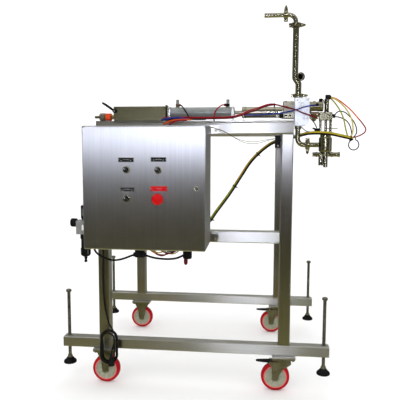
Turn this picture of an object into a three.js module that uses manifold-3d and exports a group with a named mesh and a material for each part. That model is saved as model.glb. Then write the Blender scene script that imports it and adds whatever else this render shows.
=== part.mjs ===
// Piston liquid filler on a mobile stainless frame.
//
// Design frame while building: +X to the right along the front of the machine,
// +Y away from the operator, +Z up, millimetres. X = 0 is the right face of the
// front right post, Y = 0 the front face of the front frame, Z = 0 the floor.
// The finished group is shifted in X and Y so that the origin is the centre of
// the machine's footprint on the floor.

import * as THREE from 'three';
import { mergeVertices } from 'three/addons/utils/BufferGeometryUtils.js';
import Module from 'manifold-3d';

const wasm = await Module();
wasm.setup();

// ------------------------------------------------------------ dimensions (mm)
const GAP = 0.3;             // clearance between neighbouring pieces

// frame, 2 in stainless tube
const TUBE = 50.8;           // square tube, outer
const TUBE_R = 5;            // outer corner radius
const WALL = 2.5;            // tube wall
const FRAME_W = 860;         // over the two front posts
const FRAME_D = 756;         // front face of front frame to front face of rear frame
const RAIL_H = 46;           // base rail height
const RAIL_Z = 166;          // underside of base rails
const RAIL_LEFT = -1031;     // left end of base rails
const RAIL_RIGHT = 172;      // right end of base rails
const BEAM_TOP = 1196.2;     // top of the top beams
const PLATE_T = 6.35;        // head plate welded along the front beam
const MID_TOP = 718.2;       // top of the middle rail
const FRONT_C = TUBE / 2;                 // Y of the front frame's centre plane
const REAR_C = FRAME_D + TUBE / 2;        // Y of the rear frame's centre plane
const RAIL_TOP = RAIL_Z + RAIL_H;
const POST_L = -FRAME_W + TUBE / 2;       // X of left posts
const POST_R = -TUBE / 2;                 // X of right posts

// casters, 5 in wheels
const WHEEL_R = 63.5;
const WHEEL_W = 32;
const TRAIL = 35;            // swivel trail
const AXLE_R = 6;

// levelling feet
const FOOT_XL = -1009.5;
const FOOT_XR = 150.5;
const FOOT_ROD_R = 7.5;
const FOOT_PAD_Z = 81;       // underside of the raised pads
const FOOT_PAD_R = 29.5;
const FOOT_TOP = 430;

// control enclosure, 500 x 500 x 210
const BOX_X0 = -852, BOX_X1 = -352;
const BOX_Z0 = 667, BOX_Z1 = 1167;
const BOX_BACK = -3, BOX_FRONT = -200;
const BOX_WALL = 2.5;
const DOOR_FRONT = -216;
const COL_A = -670, COL_B = -541;         // operator columns
const ROW_A = 992, ROW_B = 877;           // operator rows
const LATCH_X = -389, LATCH_Z = 919;

// filling head, all on one axis plane
const HEAD_Y = FRONT_C;
const HEAD_Z = 1231.5;       // axis of air cylinder and metering cylinder
const AIR_R = 23.3, AIR_BORE = 20;
const METER_R = 23.3, METER_BORE = 19;
const ROD_R = 8;
const STROKE = 100;
const SPOOL_Z = 1255;
const RISER_X = 2.5;
const PIPE_X = 17;
const PIPE_R = 12.7;         // 1 in sanitary tube
const BEND_R = 9.525;        // 3/4 in sanitary tube
const TOP_Z = 1634.5;        // axis of the top horizontal tube
const NOZ_X = 134.3;
const NOZ_Z = 1093.5;        // axis of the tube that feeds the nozzle

// power lead
const CORD_R = 3.6;

// ------------------------------------------------------------ solid helpers
const V3 = (x, y, z) => new THREE.Vector3(x, y, z);

function toSolid(geometry) {
  const g0 = geometry.clone();
  for (const name of Object.keys(g0.attributes)) if (name !== 'position') g0.deleteAttribute(name);
  const g = mergeVertices(g0, 1e-3);
  const pos = g.attributes.position.array;
  const idx = g.index.array;
  const tri = [];
  for (let i = 0; i < idx.length; i += 3) {
    const [a, b, c] = [idx[i], idx[i + 1], idx[i + 2]];
    if (a !== b && b !== c && a !== c) tri.push(a, b, c);
  }
  let vol = 0;
  for (let i = 0; i < tri.length; i += 3) {
    const [a, b, c] = [tri[i] * 3, tri[i + 1] * 3, tri[i + 2] * 3];
    vol += pos[a] * (pos[b + 1] * pos[c + 2] - pos[b + 2] * pos[c + 1])
         - pos[a + 1] * (pos[b] * pos[c + 2] - pos[b + 2] * pos[c])
         + pos[a + 2] * (pos[b] * pos[c + 1] - pos[b + 1] * pos[c]);
  }
  if (vol < 0) for (let i = 0; i < tri.length; i += 3) [tri[i], tri[i + 1]] = [tri[i + 1], tri[i]];
  return new wasm.Manifold(new wasm.Mesh({
    numProp: 3,
    vertProperties: new Float32Array(pos),
    triVerts: new Uint32Array(tri),
  }));
}

function fromSolid(solid) {
  const m = solid.getMesh();
  const g = new THREE.BufferGeometry();
  const p = new Float32Array(m.numVert * 3);
  for (let i = 0; i < m.numVert; i++) for (let k = 0; k < 3; k++) p[i * 3 + k] = m.vertProperties[i * m.numProp + k];
  g.setAttribute('position', new THREE.BufferAttribute(p, 3));
  g.setIndex(new THREE.BufferAttribute(new Uint32Array(m.triVerts), 1));
  g.computeVertexNormals();
  return g;
}

// round pieces take a share of the nominal number of sides, hexagons stay
const sides = (n) => (n <= 8 ? n : 2 * Math.round(n * 0.25));

const join = (...s) => s.reduce((a, b) => a.add(b));
const cut = (a, ...s) => s.reduce((u, b) => u.subtract(b), a);

function box(x0, x1, y0, y1, z0, z1) {
  const g = new THREE.BoxGeometry(x1 - x0, y1 - y0, z1 - z0);
  g.translate((x0 + x1) / 2, (y0 + y1) / 2, (z0 + z1) / 2);
  return toSolid(g);
}

// cone or cylinder along an axis, radius ra at a and rb at b; c = the two other
// coordinates of the axis, in X, Y, Z order
function cone(axis, ra, rb, a, b, c, seg = 24) {
  const g = new THREE.CylinderGeometry(rb, ra, Math.abs(b - a), sides(seg));
  const mid = (a + b) / 2;
  if (b < a) g.rotateX(Math.PI);
  if (axis === 'x') { g.rotateZ(-Math.PI / 2); g.translate(mid, c[0], c[1]); }
  if (axis === 'y') { g.translate(c[0], mid, c[1]); }
  if (axis === 'z') { g.rotateX(Math.PI / 2); g.translate(c[0], c[1], mid); }
  return toSolid(g);
}
const cyl = (axis, r, a, b, c, seg = 24) => cone(axis, r, r, a, b, c, seg);

// turned piece: closed profile [[radius, t], ...]
function turned(axis, profile, c, seg = 24) {
  const pts = profile.map(([r, t]) => new THREE.Vector2(r, t));
  const onAxis = profile[0][0] === 0 && profile[profile.length - 1][0] === 0;
  if (!onAxis) pts.push(pts[0].clone());
  const g = new THREE.LatheGeometry(pts, sides(seg));
  if (axis === 'x') { g.rotateZ(-Math.PI / 2); g.translate(0, c[0], c[1]); }
  if (axis === 'y') { g.translate(c[0], 0, c[1]); }
  if (axis === 'z') { g.rotateX(Math.PI / 2); g.translate(c[0], c[1], 0); }
  return toSolid(g);
}

function roundRect(w, h, r, n = 3) {
  const s = new THREE.Shape();
  const pts = [];
  for (const [cx, cy, a0] of [[w / 2 - r, h / 2 - r, 0], [-w / 2 + r, h / 2 - r, 90], [-w / 2 + r, -h / 2 + r, 180], [w / 2 - r, -h / 2 + r, 270]]) {
    for (let i = 0; i <= n; i++) {
      const a = (a0 + (90 * i) / n) * Math.PI / 180;
      pts.push(new THREE.Vector2(cx + r * Math.cos(a), cy + r * Math.sin(a)));
    }
  }
  s.setFromPoints(pts);
  return s;
}

function poly(points) {
  const s = new THREE.Shape();
  s.setFromPoints(points.map(([u, v]) => new THREE.Vector2(u, v)));
  return s;
}

// straight extrusion along an axis from a to b; the shape lies in the other two
// coordinates, in X, Y, Z order, moved by c
function prism(axis, shape, a, b, c = [0, 0]) {
  const g = new THREE.ExtrudeGeometry(shape, { depth: b - a, bevelEnabled: false, curveSegments: 6 });
  const m = new THREE.Matrix4();
  if (axis === 'x') m.makeBasis(V3(0, 1, 0), V3(0, 0, 1), V3(1, 0, 0)).setPosition(a, c[0], c[1]);
  if (axis === 'y') m.makeBasis(V3(1, 0, 0), V3(0, 0, 1), V3(0, -1, 0)).setPosition(c[0], b, c[1]);
  if (axis === 'z') m.makeBasis(V3(1, 0, 0), V3(0, 1, 0), V3(0, 0, 1)).setPosition(c[0], c[1], a);
  g.applyMatrix4(m);
  return toSolid(g);
}

function tube(axis, w, h, a, b, c, ends = 0) {
  const outer = prism(axis, roundRect(w, h, TUBE_R), a, b, c);
  const over = ends > 0 ? -ends : 1;
  const inner = prism(axis, roundRect(w - 2 * WALL, h - 2 * WALL, TUBE_R - WALL), a - over, b + over, c);
  return cut(outer, inner);
}

// walk along a run of points, one step from each point to the next
class Run extends THREE.Curve {
  constructor(points) {
    super();
    this.p = points.map((q) => V3(...q));
    this.n = this.p.length - 1;
  }
  getPoint(t, target = V3(0, 0, 0)) {
    const i = Math.min(this.n - 1, Math.floor(t * this.n + 1e-9));
    return target.lerpVectors(this.p[i], this.p[i + 1], t * this.n - i);
  }
  getPointAt(t, target) { return this.getPoint(t, target); }
  getTangentAt(t, target = V3(0, 0, 0)) {
    const i = Math.round(t * this.n);
    const a = this.p[Math.max(0, i - 1)], b = this.p[i], c = this.p[Math.min(this.n, i + 1)];
    target.set(0, 0, 0);
    if (i > 0) target.add(b.clone().sub(a).normalize());
    if (i < this.n) target.add(c.clone().sub(b).normalize());
    return target.normalize();
  }
  getSpacedPoints(n) {
    const out = [];
    for (let i = 0; i <= n; i++) out.push(this.getPoint(i / n));
    return out;
  }
}

// corner points rounded to a radius
function filleted(points, radius, n = 6) {
  const out = [points[0]];
  for (let i = 1; i < points.length - 1; i++) {
    const p = V3(...points[i]);
    const u = V3(...points[i - 1]).sub(p).normalize();
    const v = V3(...points[i + 1]).sub(p).normalize();
    const half = Math.acos(THREE.MathUtils.clamp(u.dot(v), -1, 1)) / 2;
    const d = radius / Math.tan(half);
    const c = p.clone().addScaledVector(u.clone().add(v).normalize(), radius / Math.sin(half));
    const a = p.clone().addScaledVector(u, d).sub(c);
    const b = p.clone().addScaledVector(v, d).sub(c);
    const angle = a.angleTo(b);
    for (let k = 0; k <= n; k++) {
      const w = k / n;
      const q = a.clone().multiplyScalar(Math.sin((1 - w) * angle) / Math.sin(angle))
        .addScaledVector(b, Math.sin(w * angle) / Math.sin(angle)).add(c);
      out.push([q.x, q.y, q.z]);
    }
  }
  out.push(points[points.length - 1]);
  return out;
}

function circle(r, seg) {
  const pts = [];
  for (let i = 0; i < seg; i++) pts.push([r * Math.cos((2 * Math.PI * i) / seg), r * Math.sin((2 * Math.PI * i) / seg)]);
  return poly(pts);
}

function swept(curve, r, seg, steps) {
  return toSolid(new THREE.ExtrudeGeometry(circle(r, seg), { steps, extrudePath: curve, bevelEnabled: false }));
}
const pipe = (points, radius, r, seg = 16) => {
  const run = new Run(filleted(points, radius, 5));
  return swept(run, r, seg, run.n);
};
const hose = (points, r, seg = 8, steps = 40) => swept(new THREE.CatmullRomCurve3(points.map((q) => V3(...q)), false, 'centripetal'), r, seg, steps);

// ------------------------------------------------------------ materials
const mat = (color, metalness, roughness) => new THREE.MeshStandardMaterial({ color, metalness, roughness });
const BRUSHED = mat(0xb9b8b0, 0.9, 0.36);
const POLISHED = mat(0xd9d9d6, 1.0, 0.14);
const ZINC = mat(0xa9a79a, 0.8, 0.4);
const RED_PU = mat(0xa8121c, 0.0, 0.45);
const BLACK = mat(0x16161a, 0.0, 0.5);
const GREY_CAST = mat(0x9a9c9b, 0.3, 0.5);
const ALU = mat(0x84857f, 0.6, 0.4);
const RED = mat(0xc8101a, 0.0, 0.25);
const PANEL = mat(0xb07a2c, 0.3, 0.5);
const RUBBER = mat(0x121212, 0.0, 0.7);
const HOSE_Y = mat(0xb9a53a, 0.0, 0.45);
const HOSE_R = mat(0x8c1420, 0.0, 0.45);
const PTFE = mat(0xe8e6e0, 0.0, 0.4);

const machine = new THREE.Group();
function add(name, solid, material) {
  const mesh = new THREE.Mesh(fromSolid(solid), material);
  mesh.name = name;
  machine.add(mesh);
  return mesh;
}

// ------------------------------------------------------------ frame
// Base rail with end caps, two screw bosses' clearance holes and caster pads.
function baseRail(yc) {
  const zc = RAIL_Z + RAIL_H / 2;
  let s = tube('x', TUBE, RAIL_H, RAIL_LEFT, RAIL_RIGHT, [yc, zc], 3);
  s = join(
    s,
    box(POST_L - 52, POST_L + 52, yc - 42, yc + 42, RAIL_Z - 8, RAIL_Z + 1),
    box(POST_R - 51, POST_R + 51, yc - 42, yc + 42, RAIL_Z - 24, RAIL_Z + 1),
    cyl('z', 34, RAIL_Z - 30, RAIL_Z - 23.5, [POST_R, yc], 28),
  );
  for (const x of [FOOT_XL, FOOT_XR]) s = cut(s, cyl('z', FOOT_ROD_R + 0.8, RAIL_Z - 2, RAIL_TOP + 2, [x, yc], 16));
  return s;
}
add('base_rail_front', baseRail(FRONT_C), BRUSHED);
add('base_rail_rear', baseRail(REAR_C), BRUSHED);

const beamUnderFront = BEAM_TOP - PLATE_T - TUBE;
const beamUnderRear = BEAM_TOP - TUBE;
add('post_front_left', tube('z', TUBE, TUBE, RAIL_TOP + GAP, beamUnderFront - GAP, [POST_L, FRONT_C]), BRUSHED);
add('post_front_right', tube('z', TUBE, TUBE, RAIL_TOP + GAP, beamUnderFront - GAP, [POST_R, FRONT_C]), BRUSHED);
add('post_rear_left', tube('z', TUBE, TUBE, RAIL_TOP + GAP, beamUnderRear - GAP, [POST_L, REAR_C]), BRUSHED);
add('post_rear_right', tube('z', TUBE, TUBE, RAIL_TOP + GAP, beamUnderRear - GAP, [POST_R, REAR_C]), BRUSHED);

function topBeam(yc, under, plate) {
  let s = tube('x', TUBE, TUBE, -FRAME_W, 0, [yc, under + TUBE / 2], 3);
  if (plate) s = join(s, box(-FRAME_W, 0, yc - TUBE / 2 + 1, yc + TUBE / 2, under + TUBE - 0.5, BEAM_TOP));
  // vent at the middle of the underside
  return cut(s, cyl('z', 5, under - 1, under + WALL + 1, [-FRAME_W / 2, yc], 12));
}
add('top_beam_front', topBeam(FRONT_C, beamUnderFront, true), BRUSHED);
add('top_beam_rear', topBeam(REAR_C, beamUnderRear, false), BRUSHED);
const crossZ = BEAM_TOP - TUBE / 2;
add('cross_tube_left', tube('y', TUBE, TUBE, TUBE + GAP, FRAME_D - GAP, [POST_L, crossZ]), BRUSHED);
add('cross_tube_right', tube('y', TUBE, TUBE, TUBE + GAP, FRAME_D - GAP, [POST_R, crossZ]), BRUSHED);
add('mid_rail', tube('x', TUBE, TUBE, -FRAME_W + TUBE + GAP, -TUBE - GAP, [FRONT_C, MID_TOP - TUBE / 2]), BRUSHED);

// ------------------------------------------------------------ casters
function wheel(x, yc) {
  const h = WHEEL_W / 2;
  return turned('y', [
    [AXLE_R + 0.5, -19], [16, -19], [17, -10.5], [47, -10.5], [52, -h], [58.5, -h], [WHEEL_R, -h + 5],
    [WHEEL_R, h - 5], [58.5, h], [52, h], [47, 10.5], [17, 10.5], [16, 19], [AXLE_R + 0.5, 19],
  ], [x, WHEEL_R], 40).translate([0, yc, 0]);
}
function axle(x, yc, out) {
  return join(
    cyl('y', AXLE_R, yc - out, yc + out, [x, WHEEL_R], 16),
    cyl('y', 10, yc - out - 5, yc - out + 0.5, [x, WHEEL_R], 6),
    cyl('y', 10, yc + out - 0.5, yc + out + 6, [x, WHEEL_R], 6),
  );
}
const LEG_IN = 20.5, LEG_OUT = 24;
function rigidFork(x, yc) {
  const top = RAIL_Z - 8 - GAP;
  const leg = poly([[-42, top - 4], [-17, WHEEL_R - 4], [-11, WHEEL_R - 14], [11, WHEEL_R - 14], [17, WHEEL_R - 4], [42, top - 4], [42, top - 1], [-42, top - 1]]);
  return join(
    box(x - 52, x + 52, yc - 42, yc + 42, top - 6, top),
    prism('y', leg, yc - LEG_OUT, yc - LEG_IN, [x, 0]),
    prism('y', leg, yc + LEG_IN, yc + LEG_OUT, [x, 0]),
    axle(x, yc, LEG_OUT),
  );
}
const SWIVEL_TOP = RAIL_Z - 30 - GAP;
const WHEEL_SX = POST_R - TRAIL;           // swivel wheels trail to the left
function swivelFork(yc) {
  const t = SWIVEL_TOP;
  const leg = poly([[-88, t], [-88, t - 12], [-78, t - 16], [WHEEL_SX - 15, WHEEL_R - 4], [WHEEL_SX - 9, WHEEL_R - 14], [WHEEL_SX + 11, WHEEL_R - 14], [WHEEL_SX + 17, WHEEL_R], [8, t - 8], [8, t]]);
  return join(
    box(-66, 8, yc - LEG_OUT, yc + LEG_OUT, t - 5, t),
    prism('y', leg, yc - LEG_OUT, yc - LEG_IN),
    prism('y', leg, yc + LEG_IN, yc + LEG_OUT),
    axle(WHEEL_SX, yc, LEG_OUT),
  );
}
function pedal(yc) {
  const s = poly([[-147, 128.5], [-144, 126.8], [-100, 129.3], [-76, 128.8], [-74, 131], [-76, 135.2], [-100, 135.2], [-140, 134.4], [-147, 132.5]]);
  return join(
    prism('y', s, yc - 18, yc + 18),
    cyl('y', 3, yc - 20, yc + 20, [-80, 132], 10),
  );
}
for (const [tag, yc] of [['front', FRONT_C], ['rear', REAR_C]]) {
  add(`fork_rigid_${tag}`, rigidFork(POST_L, yc), ZINC);
  add(`fork_swivel_${tag}`, swivelFork(yc), ZINC);
  add(`wheel_${tag}_left`, wheel(POST_L, yc), RED_PU);
  add(`wheel_${tag}_right`, wheel(WHEEL_SX, yc), RED_PU);
  add(`brake_pedal_${tag}`, pedal(yc), BLACK);
}

// ------------------------------------------------------------ levelling feet
function foot(x, yc) {
  return join(
    turned('z', [
      [0, FOOT_PAD_Z], [FOOT_PAD_R - 3, FOOT_PAD_Z], [FOOT_PAD_R, FOOT_PAD_Z + 4], [FOOT_PAD_R - 1, FOOT_PAD_Z + 10], [13, FOOT_PAD_Z + 27],
      [FOOT_ROD_R, FOOT_PAD_Z + 29], [FOOT_ROD_R, FOOT_TOP - 12], [12, FOOT_TOP - 12], [12.5, FOOT_TOP - 4], [9, FOOT_TOP], [0, FOOT_TOP],
    ], [x, yc], 20),
    cyl('z', 11.5, FOOT_PAD_Z + 28, FOOT_PAD_Z + 38, [x, yc], 6),
  );
}
add('levelling_foot_front_left', foot(FOOT_XL, FRONT_C), ZINC);
add('levelling_foot_front_right', foot(FOOT_XR, FRONT_C), ZINC);
add('levelling_foot_rear_left', foot(FOOT_XL, REAR_C), ZINC);
add('levelling_foot_rear_right', foot(FOOT_XR, REAR_C), ZINC);

// ------------------------------------------------------------ control enclosure
const BXC = (BOX_X0 + BOX_X1) / 2, BZC = (BOX_Z0 + BOX_Z1) / 2, BS = BOX_X1 - BOX_X0;
const GLAND = [-826, -30];
{
  let s = prism('y', roundRect(BS, BS, 6), BOX_FRONT, BOX_BACK, [BXC, BZC]);
  s = cut(s, prism('y', roundRect(BS - 2 * BOX_WALL, BS - 2 * BOX_WALL, 4), BOX_FRONT + BOX_WALL, BOX_BACK - BOX_WALL, [BXC, BZC]));
  s = cut(s, prism('y', roundRect(BS - 44, BS - 44, 8), BOX_FRONT - 1, BOX_FRONT + BOX_WALL + 1, [BXC, BZC]));
  // four stand-off pads on the back
  for (const x of [-832, -372]) for (const z of [690, 1158]) s = join(s, cyl('y', 9, BOX_BACK - 1, -GAP, [x, z], 12));
  // gland of the power lead, and bracket bar that carries the filter-regulator
  s = join(s,
    cyl('z', 11, BOX_Z0 - 14, BOX_Z0 + 1, GLAND, 6),
    cone('z', 7, 9.5, BOX_Z0 - 24, BOX_Z0 - 13, GLAND, 14),
    box(BOX_X0 - 7, BOX_X0 + 1, -118, -82, 716, 764));
  add('enclosure_body', s, BRUSHED);
}
{
  const y0 = DOOR_FRONT, y1 = BOX_FRONT - 0.5;
  let s = prism('y', roundRect(BS, BS, 6), y0, y1, [BXC, BZC]);
  s = cut(s, prism('y', roundRect(BS - 5, BS - 5, 4), y0 + 2.5, y1 + 1, [BXC, BZC]));
  for (const [x, z] of [[COL_A, ROW_A], [COL_B, ROW_A], [COL_A, ROW_B], [COL_B, ROW_B]]) {
    s = join(s, turned('y', [[0, y0 - 6], [12, y0 - 6], [15.3, y0 - 4], [15.3, y0 + 1], [0, y0 + 1]], [x, z], 24));
    s = join(s, cyl('y', 11, y0 + 1, y1 - 4, [x, z], 12));
    s = cut(s, cyl('y', 7, y0 - 8, y0 + 9, [x, z], 16));
  }
  s = cut(s, cyl('y', 7, y0 - 2, y0 + 4, [LATCH_X, LATCH_Z], 16));
  add('enclosure_door', s, BRUSHED);
  const knob = (x, z, q) => join(
    cyl('y', 6.4, y0 - 7, y0 + 7, [x, z], 14),
    cyl('y', 11.5, y0 - 12, y0 - 6 - GAP, [x, z], 20),
    prism('y', roundRect(8, 25, 3), y0 - 24, y0 - 11, [0, 0]).rotate([0, q, 0]).translate([x, 0, z]),
  );
  add('selector_upper_left', knob(COL_A, ROW_A, -38), BLACK);
  add('selector_upper_right', knob(COL_B, ROW_A, -38), BLACK);
  add('selector_lower_left', knob(COL_A, ROW_B, -38), BLACK);
  add('estop_button', join(
    turned('y', [[0, y0 - 36], [8, y0 - 35.5], [17, y0 - 32], [22.5, y0 - 26], [23, y0 - 22], [20, y0 - 18], [0, y0 - 17]], [COL_B, ROW_B], 24),
    cone('y', 13, 10, y0 - 19, y0 - 12, [COL_B, ROW_B], 20),
    cyl('y', 6.4, y0 - 13, y0 + 3, [COL_B, ROW_B], 14),
  ), RED);
  add('door_latch', join(
    cyl('y', 9.5, y0 - 3, y0 - GAP, [LATCH_X, LATCH_Z], 20),
    cyl('y', 6.4, y0 - 1, y0 + 23, [LATCH_X, LATCH_Z], 12),
    box(LATCH_X - 7, LATCH_X + 7, y0 + 19.5, y0 + 23, LATCH_Z - 8, LATCH_Z + 32),
  ), POLISHED);
}
// mounting panel with the controller, valve island and terminals
add('control_panel', join(
  box(-822, -382, -16, -13, 700, 1134),
  cyl('y', 6, -14, BOX_BACK - BOX_WALL - GAP, [-806, 716], 10),
  cyl('y', 6, -14, BOX_BACK - BOX_WALL - GAP, [-398, 716], 10),
  cyl('y', 6, -14, BOX_BACK - BOX_WALL - GAP, [-806, 1118], 10),
  cyl('y', 6, -14, BOX_BACK - BOX_WALL - GAP, [-398, 1118], 10),
  box(-790, -640, -90, -15, 980, 1080),
  box(-610, -540, -75, -15, 990, 1075),
  box(-515, -415, -100, -15, 960, 1090),
  box(-790, -420, -22, -15, 905, 940),
  box(-770, -450, -62, -21, 895, 950),
  box(-790, -560, -70, -15, 760, 830),
  box(-520, -420, -80, -15, 750, 840),
), PANEL);

// ------------------------------------------------------------ filter-regulator
const REG = [-882.5, -100];
add('regulator_body', join(
  box(-918, BOX_X0 - 7 - GAP, -124, -76, 709, 771),
  cyl('z', 13.5, 770, 778, REG, 16),
  box(REG[0] - 14.5, REG[0] + 14.5, -116, -84, 777, 835),
  cyl('z', 21, 689, 710, REG, 24),
  turned('z', [
    [0, 588], [6.5, 588], [6.5, 613], [14, 614], [21.7, 621], [21.7, 648], [18.5, 652], [18.5, 690], [0, 690],
  ], REG, 24),
), GREY_CAST);
add('regulator_knob', join(
  cyl('x', 18.4, -945, -918 - GAP, [-100, 759], 20),
), BLACK);

// ------------------------------------------------------------ filling head drive
const PLATE_Z = BEAM_TOP + GAP;
{
  // folded cover over the tail rod and its stop, open underneath
  let s = box(-777, -545, HEAD_Y - 31, HEAD_Y + 31, PLATE_Z, 1258);
  s = cut(s, box(-774.5, -547.5, HEAD_Y - 28.5, HEAD_Y + 28.5, PLATE_Z - 1, 1255.5));
  s = join(s, box(-549, -545, HEAD_Y - 31, HEAD_Y + 31, 1240, 1264));
  s = cut(s, cyl('x', 9, -780, -770, [HEAD_Y, 1214], 16));
  s = cut(s, cyl('x', 9, -552, -540, [HEAD_Y, HEAD_Z], 16));
  add('guard_box', s, ALU);
}
// stroke adjusting screw: threaded tip, hand knob, lock nut, collar, shank
add('stroke_adjuster', turned('x', [
  [0, -871], [5, -871], [6, -869], [6, -848], [15, -848], [17.2, -845], [17.2, -824], [15, -821], [13, -821], [13, -820], [16.8, -820],
  [16.8, -796], [10, -796], [10, -780], [7.5, -780], [7.5, -690], [0, -690],
], [HEAD_Y, 1214], 20), ZINC);
// clamping lever on the end of the cover
add('lock_lever', join(
  cyl('y', 9, HEAD_Y - 46, HEAD_Y - 31 - GAP, [-770, 1238], 18),
  cyl('y', 7.5, HEAD_Y - 48, HEAD_Y - 40, [-770, 1238], 18),
  prism('y', poly([[-775.5, 1247], [-763, 1243], [-766, 1234], [-779, 1238], [-818, 1265], [-825.5, 1269.5], [-826, 1273.5], [-822, 1276], [-817, 1274]]), HEAD_Y - 46, HEAD_Y - 36),
), BLACK);
{
  // air cylinder: two end caps on feet and a bored barrel
  let s = join(
    cyl('x', AIR_R, -532, -262, [HEAD_Y, HEAD_Z], 32),
    prism('x', roundRect(50, 50, 8), -541, -529, [HEAD_Y, HEAD_Z]),
    prism('x', roundRect(50, 50, 8), -265, -254.5, [HEAD_Y, HEAD_Z]),
    box(-541, -529, HEAD_Y - 24, HEAD_Y + 24, PLATE_Z, HEAD_Z),
    box(-265, -254.5, HEAD_Y - 24, HEAD_Y + 24, PLATE_Z, HEAD_Z),
  );
  s = cut(s,
    cyl('x', AIR_BORE, -530, -264, [HEAD_Y, HEAD_Z], 28),
    cyl('x', ROD_R + 1.2, -270, -250, [HEAD_Y, HEAD_Z], 18),
    cyl('x', 7.2, -545, -525, [HEAD_Y, HEAD_Z], 16),
    cyl('z', 4, HEAD_Z, HEAD_Z + 40, [-500, HEAD_Y], 10),
    cyl('z', 4, HEAD_Z, HEAD_Z + 40, [-281, HEAD_Y], 10),
  );
  add('air_cylinder', s, ALU);
}
// piston rod: tail rod, air piston, rod, threaded end
add('piston_rod', turned('x', [
  [0, -660], [6, -660], [6, -410], [AIR_BORE - 0.9, -410], [AIR_BORE - 0.9, -390], [ROD_R, -390], [ROD_R, -170 - GAP], [0, -170 - GAP],
], [HEAD_Y, HEAD_Z], 24), POLISHED);
// product piston with its two seal lands
add('product_piston', turned('x', [
  [0, -170], [14, -170], [14, -166], [METER_BORE - 0.9, -166], [METER_BORE - 0.9, -156], [METER_BORE - 2.5, -156], [METER_BORE - 2.5, -151], [METER_BORE - 0.9, -151],
  [METER_BORE - 0.9, -142], [12, -139], [0, -139],
], [HEAD_Y, HEAD_Z], 24), PTFE);
{
  // metering cylinder: bored tube, left flange, right clamp flange
  let s = join(
    cyl('x', METER_R, -212, -20, [HEAD_Y, HEAD_Z], 32),
    turned('x', [[0, -220.5], [24, -220.5], [24.5, -218], [24.5, -209.5], [0, -209.5]], [HEAD_Y, HEAD_Z], 28),
    box(-214, -211, HEAD_Y - 22, HEAD_Y + 22, PLATE_Z, HEAD_Z),
    box(-46, 2, HEAD_Y - 26, HEAD_Y + 26, PLATE_Z + 7, 1276),
  );
  s = cut(s,
    cyl('x', METER_BORE, -209, -30, [HEAD_Y, HEAD_Z], 28),
    cyl('x', ROD_R + 1.2, -222, -205, [HEAD_Y, HEAD_Z], 18),
    cyl('x', 9, -32, 4, [HEAD_Y, HEAD_Z], 18),
  );
  add('metering_cylinder', s, POLISHED);
}

// ------------------------------------------------------------ rotary valve body and its drive
const BLK_X0 = 2 + GAP, BLK_X1 = 62.9;
{
  const outline = poly([[BLK_X0, 1290], [BLK_X1, 1290], [BLK_X1, 1194], [47, 1173.5], [BLK_X0, 1173.5]]);
  let s = prism('y', outline, HEAD_Y - 30, HEAD_Y + 30);
  s = cut(s,
    cyl('x', 12.5, BLK_X0 + 8, BLK_X1 + 1, [HEAD_Y, SPOOL_Z], 20),       // spool bore
    cyl('z', 9, SPOOL_Z, 1292, [PIPE_X, HEAD_Y], 18),                     // inlet
    cyl('x', 9, BLK_X0 - 1, PIPE_X, [HEAD_Y, HEAD_Z], 18),                // to the metering cylinder
    cyl('z', 9, 1172, SPOOL_Z, [PIPE_X + 1, HEAD_Y], 18),                 // outlet
  );
  add('valve_block', s, POLISHED);
}
add('valve_spool', turned('x', [
  [0, 26], [11.5, 26], [11.5, 34], [6, 34], [6, 44], [11.5, 44], [11.5, 54], [5, 54], [5, 100], [0, 100],
], [HEAD_Y, SPOOL_Z], 18), PTFE);
{
  let s = join(
    cyl('x', 21, BLK_X1 + GAP, 121.5, [HEAD_Y, SPOOL_Z], 28),
    cyl('z', 8, SPOOL_Z + 15, 1287.5, [111, HEAD_Y], 12),
  );
  s = cut(s, cyl('x', 14, 74, 116, [HEAD_Y, SPOOL_Z], 20), cyl('x', 5.6, BLK_X1 - 1, 80, [HEAD_Y, SPOOL_Z], 14), cyl('z', 2.5, SPOOL_Z, 1292, [111, HEAD_Y], 8));
  add('valve_actuator', s, POLISHED);
}

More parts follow.
